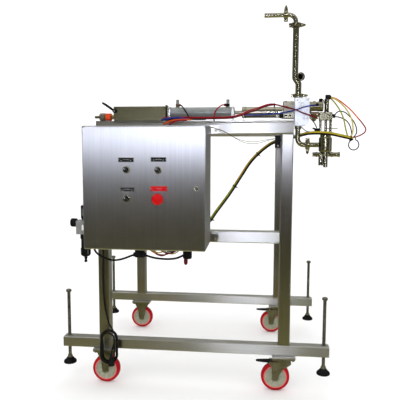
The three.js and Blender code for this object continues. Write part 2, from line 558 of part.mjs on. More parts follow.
// ------------------------------------------------------------ inlet side pipework
// clamp ring with hinge block, swing bolt and wing nut. axis: axis of the joint;
// bolt: direction from the ring centre to the wing nut, hinge on the other side.
function clampRing(center, axis, bolt, r = 19.5, w = 15) {
  const a = V3(...axis), b = V3(...bolt), c = V3().crossVectors(a, b);
  const m = new THREE.Matrix4().makeBasis(b, c, a).setPosition(...center);   // local: X to the bolt, Z along the joint
  const local = (s) => {
    const e = m.elements;
    return s.transform([e[0], e[1], e[2], 0, e[4], e[5], e[6], 0, e[8], e[9], e[10], 0, e[12], e[13], e[14], 1]);
  };
  const ring = turned('z', [[r - 3.5, -w / 2], [r + 1, -w / 2], [r + 2.5, -w / 2 + 2], [r + 2.5, w / 2 - 2], [r + 1, w / 2], [r - 3.5, w / 2]], [0, 0], 24);
  const parts = [
    ring,
    box(-r - 10, -r + 2, -7, 7, -w / 2 + 1, w / 2 - 1),
    box(r - 2, r + 8, -8, 8, -w / 2 + 1, w / 2 - 1),
    cyl('x', 3.2, r + 7, r + 21, [0, 0], 10),
    cone('x', 6.5, 5, r + 8, r + 17, [0, 0], 12),
    prism('x', poly([[-13, 3], [-11, 4.5], [11, 4.5], [13, 3], [13, -3], [11, -4.5], [-11, -4.5], [-13, -3]]), r + 12, r + 19),
  ];
  return local(parts.reduce((u, v) => u.add(v)));
}
{
  // lower pipe with its bottom clamp, side port facing the operator, offset to the riser
  const z0 = 1290 + GAP;
  let s = join(
    cyl('z', 16.8, z0, z0 + 8, [PIPE_X, HEAD_Y], 24),
    pipe([[PIPE_X, HEAD_Y, z0 + 4], [PIPE_X, HEAD_Y, 1352], [RISER_X, HEAD_Y, 1374], [RISER_X, HEAD_Y, 1392]], 14, PIPE_R, 14),
  );
  // port
  const dir = V3(0.40, -0.9165, 0).normalize();
  const port = (r, a, b, seg = 14) => {
    const g = new THREE.CylinderGeometry(r, r, b - a, seg);
    g.translate(0, (a + b) / 2, 0);
    g.applyQuaternion(new THREE.Quaternion().setFromUnitVectors(V3(0, 1, 0), dir));
    g.translate(PIPE_X - 4, HEAD_Y, 1377);
    return toSolid(g);
  };
  s = join(s, port(PIPE_R, 0, 30), port(17.7, 27, 31.5));
  s = cut(s,
    pipe([[PIPE_X, HEAD_Y, z0 - 1], [PIPE_X, HEAD_Y, 1352], [RISER_X, HEAD_Y, 1374], [RISER_X, HEAD_Y, 1393]], 14, 10.3, 10),
    port(11.2, 0, 33, 14),
  );
  // clamp that holds the pipe's ferrule down on the valve block
  s = join(s, clampRing([PIPE_X, HEAD_Y, z0 + 11], [0, 0, 1], [1, 0, 0], 19.5, 14));
  add('inlet_tee', s, POLISHED);
}
{
  const z0 = 1392 + GAP, z1 = 1592;
  let s = join(
    cyl('z', PIPE_R, z0, z1 - GAP, [RISER_X, HEAD_Y], 24),
  );
  s = join(s, cyl('z', 15.2, z1 - 4, z1 - GAP, [RISER_X, HEAD_Y], 24));
  s = cut(s, cyl('z', 10.8, z0 - 1, z1 + 1, [RISER_X, HEAD_Y], 18));
  add('riser_pipe', s, POLISHED);
  const xr = -130;
  const turn = [[RISER_X - 1.5, HEAD_Y, z1], [RISER_X - 1.5, HEAD_Y, TOP_Z], [xr, HEAD_Y, TOP_Z]];
  const inner = [[RISER_X - 1.5, HEAD_Y, z1 - 1], [RISER_X - 1.5, HEAD_Y, TOP_Z], [xr - 1, HEAD_Y, TOP_Z]];
  s = cut(join(
    pipe(turn, 29, BEND_R, 14),
    cyl('z', 15.2, z1, z1 + 4, [RISER_X - 1.5, HEAD_Y], 24),
    cyl('x', 13.5, -44.5, -36.5, [HEAD_Y, TOP_Z], 24),
  ), pipe(inner, 29, 7.8, 10));
  add('top_elbow', s, POLISHED);
  add('clamp_riser', clampRing([RISER_X - 0.8, HEAD_Y, z1], [0, 0, 1], [1, 0, 0], 19.5, 17), POLISHED);
  add('clamp_top', clampRing([-40.5, HEAD_Y, TOP_Z], [1, 0, 0], [0, 0, 1], 17.6, 17), POLISHED);
}

// ------------------------------------------------------------ outlet side and nozzle
{
  const z0 = 1173.5 - GAP;
  const path = [[PIPE_X + 1, HEAD_Y, z0], [NOZ_X - 28 - GAP, HEAD_Y, NOZ_Z]];
  const through = [[PIPE_X + 1, HEAD_Y, z0 + 1], [NOZ_X - 27, HEAD_Y, NOZ_Z]];
  const arc = (ends, r, seg) => pipe([ends[0], [PIPE_X + 1, HEAD_Y, NOZ_Z], ends[1]], 27, r, seg);
  let s = join(arc(path, 10.5, 14), cyl('z', 14, z0 - 14, z0, [PIPE_X + 1, HEAD_Y], 24), cyl('x', 15, 57, 63, [HEAD_Y, NOZ_Z], 24));
  s = cut(s, arc(through, 7.5, 10));
  add('outlet_elbow', s, POLISHED);
  add('clamp_outlet', clampRing([60, HEAD_Y, NOZ_Z], [1, 0, 0], [0, 0, -1], 19.5, 17), POLISHED);
}
{
  const x = NOZ_X, y = HEAD_Y;
  // body, manifold with side stub, two spouts, yoke rods, cylinder block, slim cylinder
  let s = join(
    turned('z', [[0, 1062], [20, 1062], [27.3, 1068], [27.3, 1124], [22, 1128], [22, 1146], [0, 1146]], [x, y], 28),
    cyl('x', 9.5, 82, 186, [y, 1053], 18),
    cone('x', 9, 12.5, 184, 195.5, [y, 1053], 18),
    cyl('z', 10.5, 1006, 1053, [117.5, y], 18),
    cyl('z', 9.2, 998, 1053, [137, y], 18),
    cyl('z', 16, 1050, 1064, [x, y], 20),
    cyl('z', 4, 1140, 1200, [112, y - 12], 10),
    cyl('z', 4, 1140, 1200, [154, y - 12], 10),
    cyl('z', 4, 1140, 1200, [112, y + 12], 10),
    cyl('z', 4, 1140, 1200, [154, y + 12], 10),
    box(106.5, 159.5, y - 18, y + 18, 1139, 1147),
    box(106.5, 158.5, y - 20, y + 20, 1197, 1230),
    cyl('z', 10.3, 1228, 1286, [136.5, y], 20),
    box(130, 151.5, y - 8, y + 8, 1284, 1303.5),
    box(157, 173, y - 8, y + 8, 1207, 1223),
  );
  s = cut(s,
    cyl('z', 12.5, 1070, 1132, [x, y], 20),
    cyl('z', 6.6, 1130, 1222, [x, y], 14),
    cyl('z', 6, 995, 1072, [x + 2.7, y], 14),
    cyl('z', 7.5, 1000, 1053, [117.5, y], 14),
    cyl('x', 6, 115, 200, [y, 1053], 14),
    cyl('x', 7.5, x - 32, x - 5, [y, NOZ_Z], 14),
    cyl('z', 7.2, 1200, 1280, [136.5, y], 14),
  );
  add('nozzle_body', s, POLISHED);
  // stem: valve head, shaft, cross pin
  add('nozzle_stem', join(
    turned('z', [[0, 1074], [9, 1074], [11, 1078], [11, 1086], [5.8, 1092], [5.8, 1196], [4.5, 1200], [4.5, 1240], [0, 1240]], [x, y], 16),
    cyl('x', 3, x, 184, [y, 1163], 10),
  ), POLISHED);
}

// ------------------------------------------------------------ hoses and lead
add('hose_loom', join(
  hose([
    [-420, 26, 742], [-392, 40, 744], [-364, 58, 752], [-333, 62, 794.5], [-271, 62, 880.5], [-223, 63, 956.5], [-180, 64, 1022], [-132, 66, 1071],
    [-90, 72, 1101], [-48, 80, 1117], [4, 78, 1128], [38, 40, 1137], [62, -10, 1142], [92, -23, 1143], [128, -25, 1142], [165, -24, 1137], [192, -20, 1131], [240, -10, 1121],
  ], 9.5, 8, 22),
  hose([
    [232, -11, 1122], [249, -8, 1124], [274, -2, 1132], [294, 6, 1143], [298, 13, 1160], [286, 19, 1186], [262, 24, 1211], [238, 25, 1237], [211, 25, 1261], [186, 25, 1279], [168, 25, 1288], [153.2, 25, 1292],
  ], 5.2, 8, 18),
), HOSE_Y);
add('hose_top', hose([
  [-505, -6, 1203], [-472, -9, 1205], [-426, -12, 1203], [-373, -12, 1203], [-312, -12, 1203.5], [-262, -10, 1207], [-215, -9, 1219], [-156, -8, 1241], [-114, -7, 1256],
  [-78, -8.5, 1261], [-43, -11, 1253], [0, -14, 1242], [30, -14, 1228], [64.5, -13, 1216], [84, -7, 1209], [101, 4, 1205],
], 5.2, 8, 26), HOSE_R);
add('air_hose', join(
  hose([
    [-845, -100, 666.5], [-845, -100, 652], [-840, -100, 636], [-826, -100, 622], [-799, -100, 608], [-767, -100, 599], [-738, -100, 601], [-710, -100, 609], [-685, -100, 619], [-666, -100, 626],
    [-644, -100, 628], [-622, -100, 624], [-590, -100, 617], [-558, -100, 613], [-515, -100, 610], [-485, -100, 615], [-452, -100, 628],
  ], 4.3, 8, 22),
  box(-665, -624, -112, -88, 614, 648),
  cyl('z', 19, 613, BOX_Z0 - GAP, [-440, -100], 20),
  cone('z', 5, 8.5, 586, 614, [-447, -100], 14),
), RUBBER);

// power lead: down the front of the left post, then coiled and tied at its foot
export const CORD_RUN = [
  [-826, -30, 642.7], [-826, -30, 630], [-827, -27, 614], [-829, -21, 596], [-831.5, -15, 574], [-834, -10.5, 548], [-835.5, -8.5, 515], [-835.5, -8, 475], [-834.5, -8, 435],
  [-832.5, -8, 398], [-828.5, -8, 360], [-822.5, -8.5, 330], [-815.5, -11.5, 306], [-808, -19, 287], [-800, -31, 270.5],
];
add('power_cord', hose(CORD_RUN, CORD_R, 8, 26), RUBBER);
{
  // outer shape of the tied hank: a flat ring with round ends
  const ring = (w, h) => {
    const s = new THREE.Shape();
    const r = w / 2, k = h / 2 - r, p = [];
    for (let i = 0; i <= 8; i++) p.push([r * Math.cos(Math.PI * i / 8), k + r * Math.sin(Math.PI * i / 8)]);
    for (let i = 0; i <= 8; i++) p.push([-r * Math.cos(Math.PI * i / 8), -k - r * Math.sin(Math.PI * i / 8)]);
    return poly(p);
  };
  const xc = -806, zc = 186, y0 = -50, y1 = -18;
  let s = cut(prism('y', ring(82, 160), y0, y1, [xc, zc]), prism('y', ring(34, 110), y0 - 1, y1 + 1, [xc, zc]));
  s = cut(s, cyl('z', CORD_R + 2.4, 262, 300, [-800, -31.5], 10));
  add('cord_coil', s, RUBBER);
}
add('cord_plug', join(
  cone('z', 12, 15, 128, 172, [-786, -66], 24),
), BLACK);

// ------------------------------------------------------------ origin under the middle of the footprint
const CORD_NODES = ['power_cord', 'cord_coil', 'cord_plug'];
const foot3 = new THREE.Box3();
for (const m of machine.children) if (!CORD_NODES.includes(m.name)) foot3.union(new THREE.Box3().setFromObject(m));
const shift = foot3.getCenter(V3(0, 0, 0));
machine.position.set(-Math.round(shift.x * 10) / 10, -Math.round(shift.y * 10) / 10, 0);
machine.updateMatrixWorld(true);

export default machine;
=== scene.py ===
import math
import random

import bmesh
import bpy
from mathutils import Matrix, Quaternion, Vector


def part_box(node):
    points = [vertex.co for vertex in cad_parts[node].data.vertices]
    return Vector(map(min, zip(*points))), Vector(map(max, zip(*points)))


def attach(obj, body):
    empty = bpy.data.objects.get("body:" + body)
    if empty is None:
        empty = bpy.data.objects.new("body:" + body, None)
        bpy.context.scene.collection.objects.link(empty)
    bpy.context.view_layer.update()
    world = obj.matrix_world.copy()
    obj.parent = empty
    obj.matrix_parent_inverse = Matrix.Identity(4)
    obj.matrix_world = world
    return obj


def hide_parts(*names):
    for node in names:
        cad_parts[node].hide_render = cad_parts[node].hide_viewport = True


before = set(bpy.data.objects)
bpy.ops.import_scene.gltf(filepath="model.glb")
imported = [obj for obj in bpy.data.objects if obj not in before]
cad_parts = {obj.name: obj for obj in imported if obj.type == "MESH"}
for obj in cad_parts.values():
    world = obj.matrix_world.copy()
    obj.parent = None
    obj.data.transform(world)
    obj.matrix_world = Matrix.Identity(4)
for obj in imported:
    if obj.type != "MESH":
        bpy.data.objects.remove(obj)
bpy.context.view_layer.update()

rng = random.Random(7)

# ---------------------------------------------------------------- frame of reference
# Design coordinates are millimetres: X = 0 the right face of the front right post,
# Y = 0 the front face of the front frame, Z = 0 the floor.
_lo, _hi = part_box("post_front_right")
OX, OY = _hi.x, _lo.y


def P(x, y, z):
    return Vector((OX + x / 1000.0, OY + y / 1000.0, z / 1000.0))


FRONT_C, REAR_C = 25.4, 781.4
POST_L, POST_R = -834.6, -25.4
RAIL_Z, RAIL_TOP = 166.0, 212.0
BEAM_TOP = 1196.2
HEAD_Y, HEAD_Z = 25.4, 1231.5
DOOR_Y = -216.0
NOZ_X, NOZ_Z = 134.3, 1093.5


# ---------------------------------------------------------------- camera
def make_camera():
    cam = bpy.data.cameras.new("camera")
    ob = bpy.data.objects.new("camera", cam)
    bpy.context.scene.collection.objects.link(ob)
    yaw, pitch, roll = 0.1101, 0.0989, 0.0024
    f = Vector((-math.sin(yaw) * math.cos(pitch), math.cos(yaw) * math.cos(pitch), -math.sin(pitch)))
    r0 = Vector((math.cos(yaw), math.sin(yaw), 0))
    u0 = r0.cross(f)
    r = math.cos(roll) * r0 + math.sin(roll) * u0
    u = -math.sin(roll) * r0 + math.cos(roll) * u0
    m = Matrix(((r.x, u.x, -f.x), (r.y, u.y, -f.y), (r.z, u.z, -f.z))).to_4x4()
    m.translation = P(-147.88, -2264.26, 1079.41)
    ob.matrix_world = m
    cam.sensor_width = 36.0
    cam.lens = 47.23
    cam.clip_end = 60
    bpy.context.scene.camera = ob


make_camera()


# ---------------------------------------------------------------- materials
def srgb(r, g, b):
    def c(v):
        v /= 255.0
        return v / 12.92 if v <= 0.04045 else ((v + 0.055) / 1.055) ** 2.4
    return (c(r), c(g), c(b), 1.0)


class Mat:
    """A principled material with helpers for procedural detail."""

    def __init__(self, name):
        self.m = bpy.data.materials.new(name)
        self.m.use_nodes = True
        self.t = self.m.node_tree
        self.b = self.t.nodes["Principled BSDF"]

    def n(self, kind, **k):
        node = self.t.nodes.new(kind)
        for a, v in k.items():
            setattr(node, a, v)
        return node

    def link(self, a, b):
        self.t.links.new(a, b)

    def coords(self, scale=(1, 1, 1), rot=(0, 0, 0)):
        co = self.n("ShaderNodeTexCoord")
        mp = self.n("ShaderNodeMapping")
        mp.inputs["Scale"].default_value = scale
        mp.inputs["Rotation"].default_value = rot
        self.link(co.outputs["Object"], mp.inputs["Vector"])
        return mp.outputs["Vector"]

    def noise(self, vec, scale=10.0, detail=3.0, rough=0.5):
        no = self.n("ShaderNodeTexNoise")
        no.inputs["Scale"].default_value = scale
        no.inputs["Detail"].default_value = detail
        no.inputs["Roughness"].default_value = rough
        self.link(vec, no.inputs["Vector"])
        return no.outputs["Fac"]

    def ramp(self, fac, stops):
        r = self.n("ShaderNodeValToRGB")
        e = r.color_ramp.elements
        e[0].position, e[0].color = stops[0][0], tuple(stops[0][1])
        e[1].position, e[1].color = stops[-1][0], tuple(stops[-1][1])
        for p, c in stops[1:-1]:
            x = e.new(p)
            x.color = tuple(c)
        self.link(fac, r.inputs["Fac"])
        return r.outputs["Color"]

    def span(self, fac, a, b, lo=0.0, hi=1.0):
        r = self.n("ShaderNodeMapRange")
        r.inputs["From Min"].default_value = lo
        r.inputs["From Max"].default_value = hi
        r.inputs["To Min"].default_value = a
        r.inputs["To Max"].default_value = b
        self.link(fac, r.inputs["Value"])
        return r.outputs["Result"]

    def mix(self, fac, a, b, mode="MIX"):
        x = self.n("ShaderNodeMix", data_type="RGBA", blend_type=mode)
        if isinstance(fac, (int, float)):
            x.inputs["Factor"].default_value = fac
        else:
            self.link(fac, x.inputs["Factor"])
        for key, v in (("A", a), ("B", b)):
            s = [i for i in x.inputs if i.name == key and i.type == "RGBA"][0]
            if isinstance(v, tuple):
                s.default_value = v
            else:
                self.link(v, s)
        return [o for o in x.outputs if o.type == "RGBA"][0]

    def bump(self, height, strength=0.2, distance=0.0005):
        bu = self.n("ShaderNodeBump")
        bu.inputs["Strength"].default_value = strength
        bu.inputs["Distance"].default_value = distance
        self.link(height, bu.inputs["Height"])
        self.link(bu.outputs["Normal"], self.b.inputs["Normal"])

    def put(self, color=None, metallic=None, rough=None, ior=None, coat=None, coat_rough=None, spec=None):
        b = self.b
        if color is not None:
            if isinstance(color, tuple):
                b.inputs["Base Color"].default_value = color
            else:
                self.link(color, b.inputs["Base Color"])
        if metallic is not None:
            b.inputs["Metallic"].default_value = metallic
        if rough is not None:
            if isinstance(rough, (int, float)):
                b.inputs["Roughness"].default_value = rough
            else:
                self.link(rough, b.inputs["Roughness"])
        if ior is not None:
            b.inputs["IOR"].default_value = ior
        if coat is not None:
            b.inputs["Coat Weight"].default_value = coat
        if coat_rough is not None:
            b.inputs["Coat Roughness"].default_value = coat_rough
        if spec is not None:
            b.inputs["Specular IOR Level"].default_value = spec
        return self.m


def grain_steel(name, axis, c0, c1, r0, r1, grain=900.0, bump=0.10, smudge=0.5, aniso=0.85):
    """Brushed stainless steel. axis is the direction the brushing runs in; reflections smear across it."""
    k = Mat(name)
    if aniso > 0:
        run = k.n("ShaderNodeCombineXYZ")
        for i, v in enumerate({"x": (1, 0, 0), "y": (0, 1, 0), "z": (0, 0, 1)}[axis]):
            run.inputs[i].default_value = v
        k.link(run.outputs["Vector"], k.b.inputs["Tangent"])
        k.b.inputs["Anisotropic"].default_value = aniso
        k.b.inputs["Anisotropic Rotation"].default_value = 0.25
    long, cross = 4.0, grain
    sc = {"x": (long, cross, cross), "y": (cross, long, cross), "z": (cross, cross, long)}[axis]
    fine = k.noise(k.coords(sc), 1.0, 4.0, 0.6)
    sc2 = tuple(v * 0.16 for v in sc)
    broad = k.noise(k.coords(sc2), 1.0, 4.0, 0.62)
    cloud = k.noise(k.coords((7, 7, 7)), 1.0, 4.0, 0.6)
    col = k.ramp(fine, [(0.30, c0), (0.70, c1)])
    col = k.mix(k.span(broad, 0.0, 0.30, 0.35, 0.70), col, tuple([v * 0.80 for v in c0[:3]] + [1.0]))
    col = k.mix(k.span(cloud, 0.0, smudge, 0.45, 0.75), col, tuple([min(1, v * 1.12) for v in c1[:3]] + [1.0]))
    rg = k.span(cloud, r0, r1, 0.3, 0.7)
    k.bump(fine, bump, 0.00015)
    return k.put(col, 1.0, rg)


def polished_steel(name, c=(0.74, 0.73, 0.68, 1), r0=0.07, r1=0.20, tint=0.75):
    k = Mat(name)
    cloud = k.noise(k.coords((9, 9, 9)), 1.0, 3.0, 0.5)
    marks = k.noise(k.coords((260, 260, 260)), 1.0, 2.0, 0.5)
    col = k.mix(k.span(cloud, 0.0, 0.35, 0.4, 0.8), c, tuple([v * tint for v in c[:3]] + [1.0]))
    k.bump(marks, 0.03, 0.00002)
    return k.put(col, 1.0, k.span(cloud, r0, r1, 0.3, 0.75))


def zinc(name, c0=(0.30, 0.28, 0.19, 1), c1=(0.46, 0.44, 0.33, 1), r0=0.28, r1=0.46):
    k = Mat(name)
    v = k.n("ShaderNodeTexVoronoi")
    v.inputs["Scale"].default_value = 150.0
    k.link(k.coords((1, 1, 1)), v.inputs["Vector"])
    cloud = k.noise(k.coords((30, 30, 30)), 1.0, 4.0, 0.6)
    col = k.ramp(cloud, [(0.35, c0), (0.68, c1)])
    col = k.mix(k.span(v.outputs["Distance"], 0.0, 0.18, 0.1, 0.8), col, (0.30, 0.27, 0.18, 1))
    k.bump(k.noise(k.coords((400, 400, 400)), 1.0, 2.0, 0.5), 0.08, 0.0003)
    return k.put(col, 0.95, k.span(cloud, r0, r1, 0.3, 0.7))


def plastic(name, c, rough=0.42, vary=0.25, grain=700.0, bump=0.08, coat=0.0, metallic=0.0, spec=0.10):
    k = Mat(name)
    cloud = k.noise(k.coords((45, 45, 45)), 1.0, 4.0, 0.6)
    fine = k.noise(k.coords((grain, grain, grain)), 1.0, 2.0, 0.5)
    hi = tuple([min(1, v * (1 + vary) + 0.004) for v in c[:3]] + [1.0])
    lo = tuple([v * (1 - vary) for v in c[:3]] + [1.0])
    col = k.ramp(cloud, [(0.32, lo), (0.70, hi)])
    k.bump(fine, bump, 0.0003)
    return k.put(col, metallic, k.span(cloud, max(0.05, rough - 0.08), rough + 0.10, 0.3, 0.7), coat=coat, coat_rough=0.12, spec=spec if metallic == 0 else 0.5)


STEEL_LO, STEEL_HI = (0.60, 0.59, 0.55, 1), (0.72, 0.71, 0.69, 1)
M = {}
M["steel_x"] = grain_steel("brushed_steel_long", "x", STEEL_LO, STEEL_HI, 0.30, 0.35, bump=0.03, smudge=0.3, aniso=0.96)
M["steel_z"] = grain_steel("brushed_steel_upright", "z", STEEL_LO, STEEL_HI, 0.30, 0.35, bump=0.03, smudge=0.3, aniso=0.96)
M["steel_y"] = grain_steel("brushed_steel_cross", "y", STEEL_LO, STEEL_HI, 0.30, 0.35, bump=0.03, smudge=0.3, aniso=0.96)
M["sheet"] = grain_steel("brushed_sheet", "z", (0.72, 0.72, 0.71, 1), (0.84, 0.84, 0.84, 1), 0.33, 0.36, grain=1000.0, bump=0.02, smudge=0.2, aniso=0.97)
M["weld"] = grain_steel("weld_bead", "x", (0.30, 0.27, 0.22, 1), (0.60, 0.57, 0.50, 1), 0.3, 0.5, grain=300.0, bump=0.5)
M["polish"] = polished_steel("polished_steel", (0.50, 0.48, 0.38, 1), 0.24, 0.30)
# Darker, more olive copy of the polished steel: painted shade and reflection on many pipes, bends, clamps and fittings.
M["polish_dark"] = polished_steel("polished_steel_painted_shade", (0.38, 0.36, 0.24, 1), 0.24, 0.31, 0.8)
M["block"] = plastic("milled_block", srgb(214, 218, 232), 0.30, 0.06, 220.0, 0.04, metallic=0.25)
M["coupling"] = grain_steel("coupling_steel", "x", (0.26, 0.25, 0.18, 1), (0.40, 0.39, 0.31, 1), 0.30, 0.38, grain=600.0, bump=0.06, aniso=0.6)
# Bezel ring: its near-white colour is a painted reflection, standing in for light reflected off the bezel.
M["bezel"] = plastic("bezel_painted_reflection", srgb(222, 224, 222), 0.30, 0.06)
M["zinc"] = zinc("zinc_plate")
M["zinc_dark"] = zinc("zinc_dark", (0.22, 0.21, 0.17, 1), (0.42, 0.41, 0.35, 1), 0.26, 0.44)
M["alu"] = plastic("anodised_grey", (0.30, 0.32, 0.32, 1), 0.34, 0.12, 500.0, 0.05, metallic=0.55)
M["alu_light"] = plastic("anodised_light", (0.62, 0.62, 0.60, 1), 0.30, 0.10, 500.0, 0.05, metallic=0.75)
M["guard"] = grain_steel("guard_sheet", "x", (0.24, 0.225, 0.125, 1), (0.34, 0.32, 0.20, 1), 0.36, 0.48, grain=500.0, bump=0.10, aniso=0.5)
M["brass"] = polished_steel("brass", (0.60, 0.42, 0.20, 1), 0.16, 0.30, 0.7)
M["copper"] = polished_steel("bronze", (0.72, 0.52, 0.40, 1), 0.14, 0.28, 0.8)
M["orange"] = plastic("orange_paint", srgb(214, 74, 34), 0.35, 0.18)
M["black"] = plastic("black_plastic", (0.005, 0.005, 0.006, 1), 0.38, 0.4)
M["black_soft"] = plastic("black_rubber", (0.006, 0.006, 0.006, 1), 0.55, 0.45, 900.0, 0.25)
M["cord"] = plastic("lead_sheath", (0.007, 0.0065, 0.006, 1), 0.42, 0.4, 1200.0, 0.15)
M["red"] = plastic("signal_red", srgb(178, 0, 6), 0.18, 0.10, coat=0.12, spec=0.2)
M["pu"] = plastic("polyurethane_red", srgb(164, 8, 22), 0.38, 0.20, 300.0, 0.12)
M["core"] = plastic("nylon_core", srgb(156, 158, 138), 0.45, 0.10, 350.0, 0.10)
M["core_rim"] = plastic("core_rim", srgb(196, 118, 112), 0.45, 0.12)
M["legend"] = plastic("legend_black", (0.004, 0.004, 0.005, 1), 0.30, 0.3)
M["legend_mark"] = plastic("legend_mark", srgb(205, 205, 205), 0.4, 0.1)
M["legend_red"] = plastic("legend_red", srgb(180, 8, 18), 0.3, 0.15)
M["legend_pink"] = plastic("legend_pink", srgb(206, 100, 100), 0.4, 0.1)
M["white"] = plastic("white_plastic", srgb(226, 226, 224), 0.35, 0.05)
M["ptfe"] = plastic("seal_white", srgb(228, 226, 218), 0.4, 0.06)
M["grey_cast"] = plastic("die_cast_grey", srgb(150, 152, 150), 0.38, 0.12, 250.0, 0.18, metallic=0.3)
M["panel"] = plastic("passivated_plate", srgb(178, 128, 62), 0.35, 0.15, metallic=0.6)
M["device"] = plastic("device_grey", srgb(190, 194, 192), 0.45, 0.08)
M["duct"] = plastic("duct_grey", srgb(160, 164, 166), 0.5, 0.08)
M["blue"] = plastic("tube_blue", srgb(24, 44, 118), 0.30, 0.15, coat=0.1)
M["red_tube"] = plastic("tube_red", srgb(138, 12, 26), 0.30, 0.15, coat=0.1)
M["maroon"] = plastic("tube_maroon", srgb(92, 14, 28), 0.30, 0.15, coat=0.1)
M["orange_tube"] = plastic("tube_orange", srgb(190, 76, 24), 0.32, 0.15, coat=0.1)
M["tan"] = plastic("tube_tan", srgb(172, 116, 48), 0.32, 0.15, coat=0.1)
M["yellow"] = plastic("tube_yellow", srgb(170, 150, 30), 0.32, 0.15, coat=0.1)
M["yellow_green"] = plastic("tube_yellow_green", srgb(134, 138, 26), 0.32, 0.15, coat=0.1)
M["yellow_clear"] = plastic("tube_pale_yellow", srgb(182, 170, 88), 0.22, 0.10, coat=0.4)
M["green_yel"] = plastic("wire_green_yellow", srgb(150, 160, 60), 0.3, 0.15)
M["grey_tube"] = plastic("tube_grey", srgb(96, 98, 92), 0.35, 0.15)
M["black_tube"] = plastic("tube_black", (0.006, 0.006, 0.007, 1), 0.34, 0.3)
M["thin_wire"] = plastic("wire_olive", srgb(92, 90, 60), 0.4, 0.15)
M["glass"] = plastic("sight_bowl", (0.10, 0.11, 0.10, 1), 0.18, 0.15, coat=0.5)


# ---------------------------------------------------------------- mesh builder
class B:
    """Collects closed pieces of one object. Lengths in design millimetres."""

    def __init__(self):
        self.v, self.f, self.m, self.s = [], [], [], []
        self.mats = []

    def _mi(self, mat):
        if mat not in self.mats:
            self.mats.append(mat)
        return self.mats.index(mat)

    def add(self, verts, faces, mat, smooth=True):
        o = len(self.v)
        self.v.extend(verts)
        i = self._mi(mat)
        for f in faces:
            self.f.append([a + o for a in f])
            self.m.append(i)
            self.s.append(smooth)

    # box with bevelled edges
    def box(self, x0, x1, y0, y1, z0, z1, mat, bev=1.0, seg=2, rot=None, at=None):
        bm = bmesh.new()
        bmesh.ops.create_cube(bm, size=1.0)
        for v in bm.verts:
            v.co = Vector((v.co.x * (x1 - x0), v.co.y * (y1 - y0), v.co.z * (z1 - z0)))
        if bev > 0:
            bmesh.ops.bevel(bm, geom=bm.edges[:], offset=bev, segments=seg, profile=0.5, affect="EDGES", clamp_overlap=True)
        c = Vector(((x0 + x1) / 2, (y0 + y1) / 2, (z0 + z1) / 2))
        if rot is not None:
            q = Quaternion(rot[0], math.radians(rot[1]))
            pivot = Vector(at) if at is not None else c
            for v in bm.verts:
                v.co = q @ (v.co + c - pivot) + pivot
        else:
            for v in bm.verts:
                v.co = v.co + c
        self._bm(bm, mat)

    def _bm(self, bm, mat, smooth=True):
        bm.verts.ensure_lookup_table()
        self.add([tuple(v.co) for v in bm.verts], [[v.index for v in f.verts] for f in bm.faces], mat, smooth)
        bm.free()

    # closed profile [(r, t)] turned about an axis through c (other two coordinates in X, Y, Z order)
    def lathe(self, axis, prof, c, mat, seg=40, ring=False):
        n = len(prof)
        verts, faces = [], []
        for k in range(seg):
            a = 2 * math.pi * k / seg
            for r, t in prof:
                u, w = r * math.cos(a), r * math.sin(a)
                if axis == "x":
                    verts.append((t, c[0] + u, c[1] + w))
                elif axis == "y":
                    verts.append((c[0] + w, t, c[1] + u))
                else:
                    verts.append((c[0] + u, c[1] + w, t))
        last = n if ring else n - 1
        for k in range(seg):
            k2 = (k + 1) % seg
            for i in range(last):
                j = (i + 1) % n
                faces.append([k * n + i, k2 * n + i, k2 * n + j, k * n + j])
        bm = bmesh.new()
        vs = [bm.verts.new(v) for v in verts]
        for f in faces:
            try:
                bm.faces.new([vs[i] for i in f])
            except ValueError:
                pass
        bmesh.ops.remove_doubles(bm, verts=bm.verts, dist=1e-4)
        bmesh.ops.recalc_face_normals(bm, faces=bm.faces)
        self._bm(bm, mat)

    def cyl(self, axis, r, a, b, c, mat, seg=40, bev=0.6):
        bev = min(bev, r * 0.4, abs(b - a) * 0.4)
        if a > b:
            a, b = b, a
        self.lathe(axis, [(0, a), (r - bev, a), (r - bev * 0.3, a + bev * 0.3), (r, a + bev), (r, b - bev), (r - bev * 0.3, b - bev * 0.3), (r - bev, b), (0, b)], c, mat, seg)

    def pipe(self, axis, r, ri, a, b, c, mat, seg=40, bev=0.5):
        if a > b:
            a, b = b, a
        self.lathe(axis, [(ri, a), (r - bev, a), (r, a + bev), (r, b - bev), (r - bev, b), (ri, b)], c, mat, seg, ring=True)

    def hexa(self, axis, r, a, b, c, mat, turn=0.0):
        verts, faces = [], []
        if a > b:
            a, b = b, a
        ch = min(r * 0.12, (b - a) * 0.2)
        rows = [(r - ch, a), (r, a + ch), (r, b - ch), (r - ch, b)]
        for rr, t in rows:
            for k in range(6):
                an = math.pi / 3 * k + turn
                u, w = rr * math.cos(an), rr * math.sin(an)
                verts.append({"x": (t, c[0] + u, c[1] + w), "y": (c[0] + w, t, c[1] + u), "z": (c[0] + u, c[1] + w, t)}[axis])
        for i in range(3):
            for k in range(6):
                k2 = (k + 1) % 6
                faces.append([i * 6 + k, i * 6 + k2, (i + 1) * 6 + k2, (i + 1) * 6 + k])
        faces.append([5, 4, 3, 2, 1, 0])
        faces.append([18 + k for k in range(6)])
        self.add(verts, faces, mat, True)

    # flat outline extruded along an axis; outline points in the other two coordinates
    def prism(self, axis, pts, a, b, mat, bev=0.6, hole=None):
        bm = bmesh.new()

        def pt(u, w, t):
            return {"x": (t, u, w), "y": (u, t, w), "z": (u, w, t)}[axis]
        lo = [bm.verts.new(pt(u, w, a)) for u, w in pts]
        hi = [bm.verts.new(pt(u, w, b)) for u, w in pts]
        n = len(pts)
        bm.faces.new(lo)
        bm.faces.new(hi[::-1])
        for i in range(n):
            j = (i + 1) % n
            bm.faces.new([lo[i], lo[j], hi[j], hi[i]])
        bmesh.ops.recalc_face_normals(bm, faces=bm.faces)
        if bev > 0:
            rim = [e for e in bm.edges if (e.verts[0] in lo) == (e.verts[1] in lo)]
            bmesh.ops.bevel(bm, geom=rim, offset=bev, segments=2, profile=0.5, affect="EDGES", clamp_overlap=True)
        self._bm(bm, mat)

